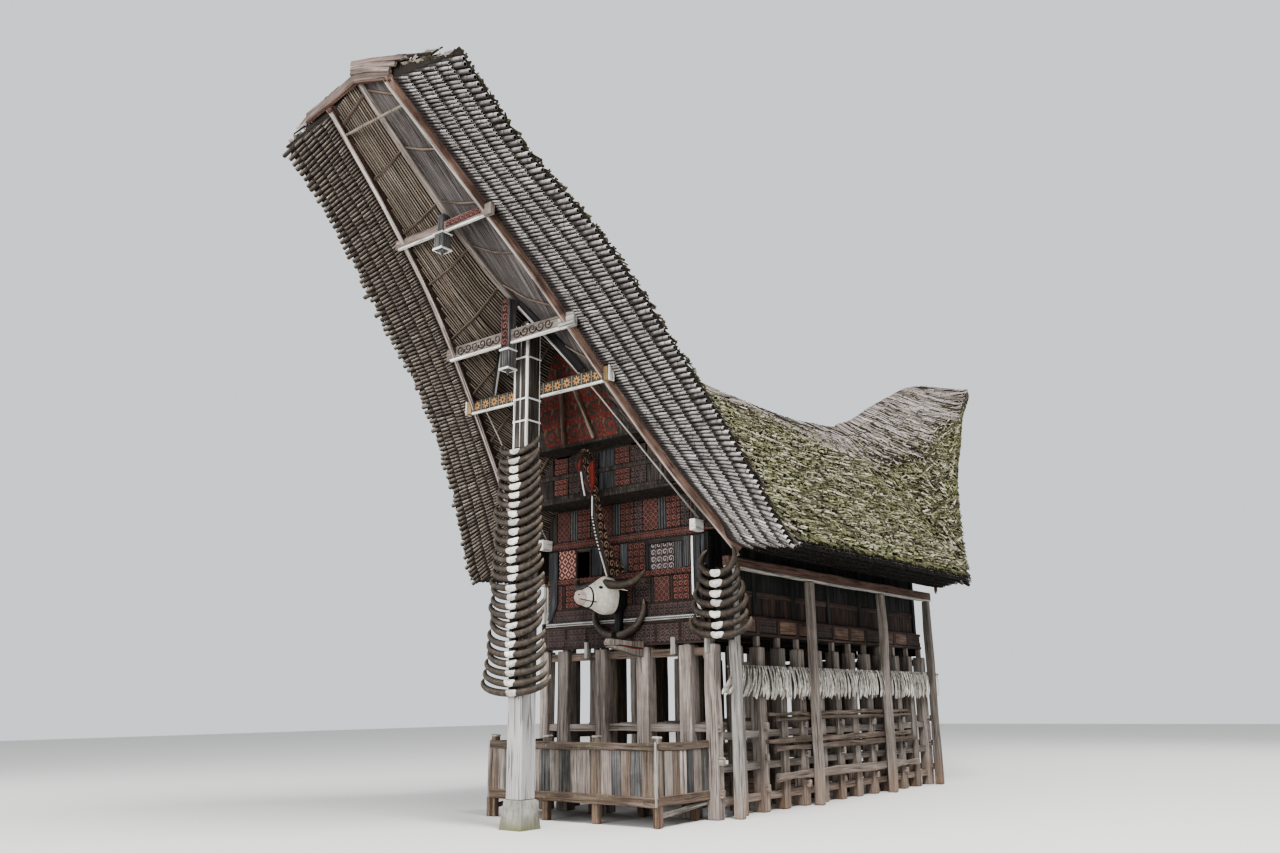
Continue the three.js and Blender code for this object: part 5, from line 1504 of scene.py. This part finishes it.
def horn_stacks():
    """Buffalo horns in a column, one pair above the other, with white pieces of skull in front of them."""
    shape = Shape()
    face = POST_Y - POST_SIZE / 2
    low, high, count = FRONT_HORNS
    # Black block behind the horns, painted shade between them
    shape.block((-0.05, 0.05), (face - 0.06, face), (low, high), 0.008, material=2)
    for k in range(count):
        z = low + (high - low) * (k + 0.4) / count
        span = 1.2 - 0.4 * k / (count - 1) if k > 1 else 1.32
        horn_pair(shape, 0, face - 0.062, z, span * rng.uniform(0.93, 1.05), 0.22 * rng.uniform(0.75, 1.15))
        forehead(shape, rng.normal(0, 0.01), face - 0.108, z + rng.normal(-0.004, 0.005),
                 rng.uniform(0.22, 0.28), 0.104)
    shape.piece("front_horns", [HORN, BONE, BLACK], "horn", "front_post_horns", soft=50)

    shape = Shape()
    face = EAVE_POSTS_Y[0] - EAVE_POST_SIZE / 2
    low, high, count = RIGHT_HORNS
    # Black block behind the horns, painted shade between them
    shape.block(around(EAVE_POST_X, 0.05), (face - 0.36, face), (low, high), 0.008, material=2)
    for k in range(count):
        z = low + (high - low) * (k + 0.3) / count
        share = k / (count - 1)
        span = (1.1 - 0.42 * share) * rng.uniform(0.9, 1.06)
        horn_pair(shape, EAVE_POST_X, face - 0.37, z, span, 0.22 * rng.uniform(0.9, 1.2), 0.064,
                  1.7 + 0.55 * share)
        forehead(shape, EAVE_POST_X + rng.normal(0, 0.01), face - 0.43, z + rng.normal(0.0, 0.006),
                 rng.uniform(0.2, 0.25), 0.125)
    shape.piece("right_horns", [HORN, BONE, BLACK], "horn", "right_post_horns", soft=50)


def from_wall(rows, side=1):
    """Points given as x on the right side, distance in front of the facade, and z."""
    return mirror(np.array(rows, float), side) * np.array([1, -1, 1]) - np.array([0, FACADE_Y, 0])


def buffalo_head():
    """Carved white head on a black neck, looking out of the wall, with wide horns and a pair hung below."""
    shape = Shape()
    wall = -FACADE_Y
    profile = np.array([
        (0.0, 3.42, 0.105, 0.2), (-0.16, 3.43, 0.145, 0.26), (-0.34, 3.44, 0.175, 0.3),
        (-0.56, 3.42, 0.175, 0.295), (-0.79, 3.39, 0.135, 0.215), (-1.0, 3.365, 0.1, 0.138),
        (-1.1, 3.365, 0.094, 0.118), (-1.16, 3.37, 0.08, 0.095), (-1.19, 3.37, 0.04, 0.05)])
    rows = follow(profile, np.linspace(0, len(profile) - 1, 40))
    corners = 24
    angle = 2 * np.pi * np.arange(corners) / corners
    rings = []
    for y, z, wide, high in rows:
        brow = 1 + 0.08 * np.exp(-((y + 0.5) / 0.1) ** 2) * np.maximum(np.sin(angle), 0)
        jaw = 1 - 0.12 * np.exp(-((y + 0.8) / 0.15) ** 2) * np.maximum(-np.sin(angle), 0)
        height = z + np.sin(angle) * high * brow * jaw
        rings.append(np.stack([np.cos(angle) * wide, np.full(corners, wall + y), height], -1))
    neck_end, halter_at, muzzle_at = [int((rows[:, 0] > y).sum()) for y in (-0.3, -0.9, -1.02)]
    shape.loft(rings[:neck_end + 1], 0.5, 1)
    shape.loft(rings[neck_end:muzzle_at + 1], 0.9, 0)
    shape.loft(rings[muzzle_at:], 0.8, 3)
    horn_pair(shape, 0, wall - 0.56, 3.62, 1.42, 0.19, 0.085, 1.5, 2, 0.3, 0.09)
    horn_pair(shape, 0, wall - 0.17, 2.8, 1.06, 0.42, 0.075, 1.85, 2)
    halter = np.concatenate([rings[halter_at], rings[halter_at][:2]])
    shape.bars(halter + (halter - halter[:-2].mean(0)) * 0.02, SQUARE, 0.012, 0.026, (0, 1, 0), material=1)
    for side in (-1, 1):
        ear = from_wall([(0.13, 0.5, 3.53), (0.2, 0.46, 3.54), (0.29, 0.4, 3.53), (0.37, 0.33, 3.5)], side)
        shape.bars(ear, ROUND, [0.04, 0.12, 0.11, 0.015], [0.03, 0.04, 0.03, 0.01], tone=0.8)
        eye = from_wall([(0.1, 0.72, 3.54), (0.128, 0.725, 3.545)], side)
        shape.bars(eye, round_outline(12), 0.08, 0.046, UP, tone=0.1, material=1)
        nostril = from_wall([(0.045, 1.17, 3.4), (0.05, 1.186, 3.4)], side)
        shape.bars(nostril, ROUND_FINE, 0.03, 0.022, tone=0.1, material=1)
    mouth = from_wall([(0, 0.82, 3.3), (0, 1.0, 3.312), (0, 1.17, 3.33)])
    shape.bars(mouth, SQUARE, [0.26, 0.2, 0.165], 0.012, material=1)
    shape.block((-0.055, 0.055), (wall - 0.165, wall - 0.06), (2.75, 3.3), 0.01, material=1)
    shape.piece("carved_buffalo_head", [HIDE, BLACK, HORN, MUZZLE], "bone", "buffalo_head", soft=50)


def upright_rings(outline, x, y, inner, layers):
    """Rings of a flat upright solid with worn edges. A layer is (distance from the plane at x, whether
    its ring is the smaller, inner one)."""
    smaller = outline * inner + outline.mean(0) * (1 - inner)
    rows = [(away, smaller if small else outline) for away, small in layers]
    return [np.stack([np.full(len(row), x + away), y + row[:, 0], row[:, 1]], -1) for away, row in rows]


def neck_board():
    """Carved bird's neck that rises in front of the wall, with a red wattle and a striped cord."""
    shape = Shape()
    wall = -FACADE_Y
    outline = np.array([
        (0, 3.86), (-0.18, 3.79), (-0.37, 3.74), (-0.45, 4.01), (-0.63, 4.37), (-0.73, 4.73),
        (-0.76, 5.01), (-0.86, 5.16), (-1.05, 5.48), (-1.1, 5.76), (-0.98, 5.88), (-0.86, 5.76),
        (-0.78, 5.56), (-0.69, 5.37), (-0.66, 5.05), (-0.56, 4.75), (-0.42, 4.39), (-0.29, 4.12),
        (-0.17, 3.99), (0, 3.96)])
    layers = ((-0.035, True), (-0.03, False), (0.03, False), (0.035, True))
    shape.loft(upright_rings(outline, 0, wall, 0.99, layers), 0.5, 0, cells=(1, 2, 0, 0, 0.15))
    edge = np.stack([np.zeros(8), wall + outline[2:10, 0], outline[2:10, 1]], -1)
    shape.bars(edge + np.array([0, -0.004, 0]), SQUARE, 0.01, 0.062, ACROSS, material=4)
    cord = from_wall([(0, 0.792, 5.2), (0, 0.802, 4.95), (0, 0.802, 4.72), (0, 0.732, 4.47),
                      (0, 0.672, 4.31), (0, 0.602, 4.15), (0, 0.502, 3.94), (0, 0.422, 3.76)])
    stripes = (2, 1, 0, 0, 0.055)
    for part, look, cells in ((cord[:3], 5, None), (cord[2:6], 1, stripes), (cord[5:], 5, None)):
        shape.bars(part, ROUND, 0.026, 0.026, ACROSS, tone=0.9, material=look, cells=cells)
    for points, wide, high, look in (
        ([(0, 0.9, 5.62), (0, 1.0, 5.74), (0, 1.09, 5.72), (0, 1.16, 5.6), (0, 1.19, 5.45)],
         [0.1, 0.11, 0.1, 0.07, 0.02], [0.16, 0.19, 0.15, 0.08, 0.03], 2),
        ([(0, 1.08, 5.68), (0, 1.15, 5.6), (0, 1.16, 5.5), (0, 1.12, 5.42)],
         [0.06, 0.07, 0.07, 0.03], [0.1, 0.12, 0.1, 0.03], 3),
        ([(0, 0.87, 5.64), (0, 0.88, 5.48), (0, 0.86, 5.28), (0, 0.83, 5.13)],
         [0.1, 0.13, 0.13, 0.05], [0.2, 0.24, 0.22, 0.08], 3),
    ):
        shape.bars(from_wall(points), ROUND, wide, high, ACROSS, material=look)
    streak = from_wall([(0, 1.09, 5.43), (0, 1.04, 5.2), (0, 0.99, 5.04)])
    shape.bars(streak, SQUARE, 0.02, 0.02, ACROSS, material=5)
    shape.piece("carved_neck", [NECK_SCROLLS, CORD_STRIPES, DIM_RED, BRIGHT_RED, DARK, WHITE_PAINT],
                "carved_timber", "neck_board")


def beak():
    """Carved beak, slightly open, on the face of a front pile."""
    shape = Shape()
    start = -HALF_LENGTH - PILE_SIZE / 2
    upper = np.array([(0, 2.585), (0, 2.69), (-0.3, 2.68), (-0.56, 2.69), (-0.86, 2.702), (-0.91, 2.65),
                      (-0.89, 2.6), (-0.6, 2.615), (-0.3, 2.6)])
    lower = np.array([(0, 2.44), (0, 2.56), (-0.3, 2.565), (-0.56, 2.59), (-0.84, 2.6), (-0.88, 2.572),
                      (-0.56, 2.53), (-0.26, 2.47)])
    for outline, x in ((upper, 0.055), (lower, 0.05)):
        layers = ((-x, True), (0.008 - x, False), (x - 0.008, False), (x, True))
        shape.loft(upright_rings(outline, INNER_PILE_X[2], start, 0.985, layers), 0.7)
    tongue = np.array([(0, 0, 2.572), (0, -0.3, 2.585), (0, -0.6, 2.604), (0, -0.84, 2.612)])
    tongue = tongue + np.array([INNER_PILE_X[2], start, 0])
    shape.bars(tongue, SQUARE, [0.09, 0.095, 0.09, 0.05], 0.024, material=1)
    shape.piece("carved_beak", [WARM, BRIGHT_RED], "brown_timber", "beam_beak")


def deck():
    """Low deck with a boarded parapet; the boards differ in colour."""
    half, front, back, top, bottom, floor = DECK.values()
    looks = [BROWN, BLUISH_PLANK, BEIGE, PINK, RUSTY, BLACK_PLANK, PALE]
    brown, bluish, beige, pink, rusty, black, pale = range(len(looks))
    shape = Shape()

    def parapet(fixed, along_x, start, end):
        """Upright boards from start to end; no two neighbours look the same."""
        at, last = start, None
        while at < end - 0.03:
            wide = min(rng.uniform(0.16, 0.22), end - at)
            look = int(rng.choice([look for look in (brown, bluish, beige, pink, black) if look != last]))
            z = (bottom + rng.uniform(0, 0.01), top - 0.04)
            across = (fixed[0] + rng.uniform(0, 0.006), fixed[1])
            along = (at + 0.003, at + wide - 0.003)
            x, y = (along, across) if along_x else (across, along)
            shape.block(x, y, z, 0.005, 0.002, material=look)
            at += wide
            last = look

    parapet((front, front + 0.03), True, -half, half)
    parapet((half - 0.03, half), False, front + 0.03, back)
    parapet((-half, 0.03 - half), False, front + 0.03, back)
    for z in ((bottom - 0.005, bottom + 0.135), (top - 0.11, top + 0.005)):
        x, y = around(0, half + 0.012), (front - 0.014, front + 0.05)
        shape.block(x, y, z, *ROUGH, material=rusty)
        for side in (-1, 1):
            x, y = outward(side, half - 0.05, half + 0.013), (front + 0.05, back)
            shape.block(x, y, z, *ROUGH, material=rusty)
    for x in (-half + 0.055, -0.5, 0.5, half - 0.055):
        y = (front + 0.035, front + 0.145)
        shape.block(around(x, 0.055), y, (0, top + 0.07), 0.01, 0.003, material=brown)
        y = (front + 0.032, front + 0.148)
        shape.block(around(x, 0.058), y, (top + 0.066, top + 0.095), 0.008, 0.004, material=pale)
    for side in (-1, 1):
        x = side * (half - 0.012)
        y = (front - 0.018, front + 0.03)
        shape.block(around(x, 0.022), y, (bottom - 0.005, top + 0.02), 0.006, 0.003, material=pale)
        y = (front - 0.005, front + 0.06)
        shape.block((x - 0.04, x + 0.022), y, (0, bottom), 0.006, 0.003, material=brown)
        x = side * (half - 0.03)
        low, high = (x, front + 0.12, bottom - 0.13), (x, back - 0.03, bottom - 0.03)
        shape.timber(low, high, 0.05, 0.07, material=beige)
    shape.piece("deck_boards", looks, "brown_timber", "deck_parapet")

    shape = Shape()
    inner = half - 0.05
    for y in boards(np.linspace(front + 0.146, back, 10), 0.003):
        shape.block((-inner, inner), y, (floor - 0.04, floor), 0.004)
    for y in (front + 0.25, back - 0.12):
        shape.block((-inner, inner), around(y, 0.05), (floor - 0.16, floor - 0.035))
    for x in (-1.5, -0.5, 0.5, 1.5):
        shape.block(around(x, 0.055), (back - 0.175, back - 0.065), (0, floor - 0.15))
    shape.piece("deck_planks", RUSTY, "brown_timber", "deck_floor")


def jawbones():
    """Jawbones tied side by side to a pole along the right side; they fan out towards the front."""
    shape = Shape()
    x = EAVE_POST_X - EAVE_POST_SIZE / 2 - 0.022
    n, z = 30, 2.25
    t = np.linspace(0, 1, n)
    pole = np.stack([np.full(n, x), -3.85 + 8.5 * t, z + rng.normal(0, 0.004, n)], -1)
    shape.bars(pole, ROUND, 0.046, 0.046, material=1)
    s = np.linspace(0, 1, 9)
    widths = np.array([0.014, 0.022, 0.025, 0.024, 0.027, 0.034, 0.044, 0.046, 0.016])
    for y in np.arange(-3.66, 4.5, JAW_PITCH):
        front = max(0.0, (-2.6 - y) / 1.1)
        fan = 0.05 - 0.42 * front
        tone = float(np.clip(rng.normal(0.48, 0.36), 0, 1))
        deep = rng.uniform(-0.025, 0.05)
        for half in (-1, 1):
            lean = fan + rng.normal(0.02, 0.045 + 0.05 * front) + 0.02 * half
            drop = rng.uniform(0.45, 0.55) - 0.08 * front ** 2
            bow = np.sin(np.pi * s)
            path = np.stack([x + deep + 0.012 * half + 0.03 * bow,
                             y + rng.normal(0, 0.006) + lean * s + 0.04 * half * s * (1 - s) * 4,
                             z + 0.035 - drop * s - 0.02 * bow], -1)
            wide = widths * rng.uniform(0.85, 1.35) * (1 + 0.35 * front)
            # Each bone is painted darker near the pole, as shade where the bones bunch together
            shade = np.clip(tone - 0.25 + 0.5 * s, 0, 1)[None]
            shape.bars(path, round_outline(6), wide, 0.5 * wide, ACROSS, tone=shade)
    turn = np.linspace(0, 2 * np.pi, 13)
    lashing = np.stack([x + 0.036 * np.cos(turn), 0 * turn, z + 0.036 * np.sin(turn)], -1)
    for y in EAVE_POSTS_Y:
        for k in range(4):
            ring = lashing + (0, y - 0.03 + 0.02 * k, 0)
            shape.bars(ring, SQUARE, 0.012, 0.012, (0, 1, 0), material=2)
    shape.piece("row_of_jawbones", [JAW, GREY, BEIGE], "bone", "jawbone_rack", soft=60)


piles()
rails()
floor_parts()
side_walls()
eave_frames()
front_wall()
rear_wall()
gable("front", FRONT)
gable("rear", REAR)
prow_beams()
front_post()
horn_stacks()
buffalo_head()
neck_board()
beak()
deck()
jawbones()


def set_camera():
    """Camera of the photograph: it stands at the front right corner and looks a little up."""
    yaw, pitch, roll = CAMERA["yaw"], CAMERA["pitch"], CAMERA["roll"]
    forward = Vector((-math.sin(yaw) * math.cos(pitch), math.cos(yaw) * math.cos(pitch), math.sin(pitch)))
    level = Vector((math.cos(yaw), math.sin(yaw), 0))
    raised = level.cross(forward)
    right = level * math.cos(roll) + raised * math.sin(roll)
    up = raised * math.cos(roll) - level * math.sin(roll)
    data = bpy.data.cameras.new("camera")
    data.lens = CAMERA["lens"]
    data.sensor_width = 36
    data.clip_end = 200
    camera = bpy.data.objects.new("camera", data)
    bpy.context.collection.objects.link(camera)
    turn = Matrix((right, up, -forward)).transposed().to_4x4()
    camera.matrix_world = Matrix.Translation(CAMERA["place"]) @ turn
    bpy.context.scene.camera = camera


def set_light():
    """Overcast sky and four soft lamps."""
    world = bpy.data.worlds.new("studio")
    world.use_nodes = True
    sky = world.node_tree.nodes["Background"]
    sky.inputs[0].default_value = (0.93, 0.96, 1.0, 1)
    sky.inputs[1].default_value = 0.62
    bpy.context.scene.world = world
    bpy.context.scene.view_settings.look = "AgX - Medium High Contrast"
    bpy.context.scene.view_settings.exposure = 0.45
    for name, place, target, size, power in (
        ("key", (13, -11, 24), (0, 0, 5), 9, 8500),
        ("front", (4, -31, 7), (0, -4, 7), 12, 5000),
        ("fill", (-16, -16, 10), (0, -4, 5), 14, 1200),
        ("back", (10, 20, 18), (0, 0, 5), 12, 2200),
    ):
        data = bpy.data.lights.new(name, "AREA")
        data.size = size
        data.energy = power
        lamp = bpy.data.objects.new(name, data)
        bpy.context.collection.objects.link(lamp)
        lamp.location = place
        lamp.rotation_euler = (Vector(target) - Vector(place)).to_track_quat("-Z", "Y").to_euler()


def set_floor():
    """Large pale floor, which is stage and not part of the house."""
    reach = 60
    mesh = bpy.data.meshes.new("studio_floor")
    corners = [(reach * x, reach * y, 0) for x, y in ((-1, -1), (1, -1), (1, 1), (-1, 1))]
    mesh.from_pydata(corners, [], [(0, 1, 2, 3)])
    floor = bpy.data.objects.new("studio_floor", mesh)
    bpy.context.collection.objects.link(floor)
    g = Graph("studio_floor")
    mesh.materials.append(g.finish((0.56, 0.55, 0.53), 0.9))


set_camera()
set_light()
set_floor()
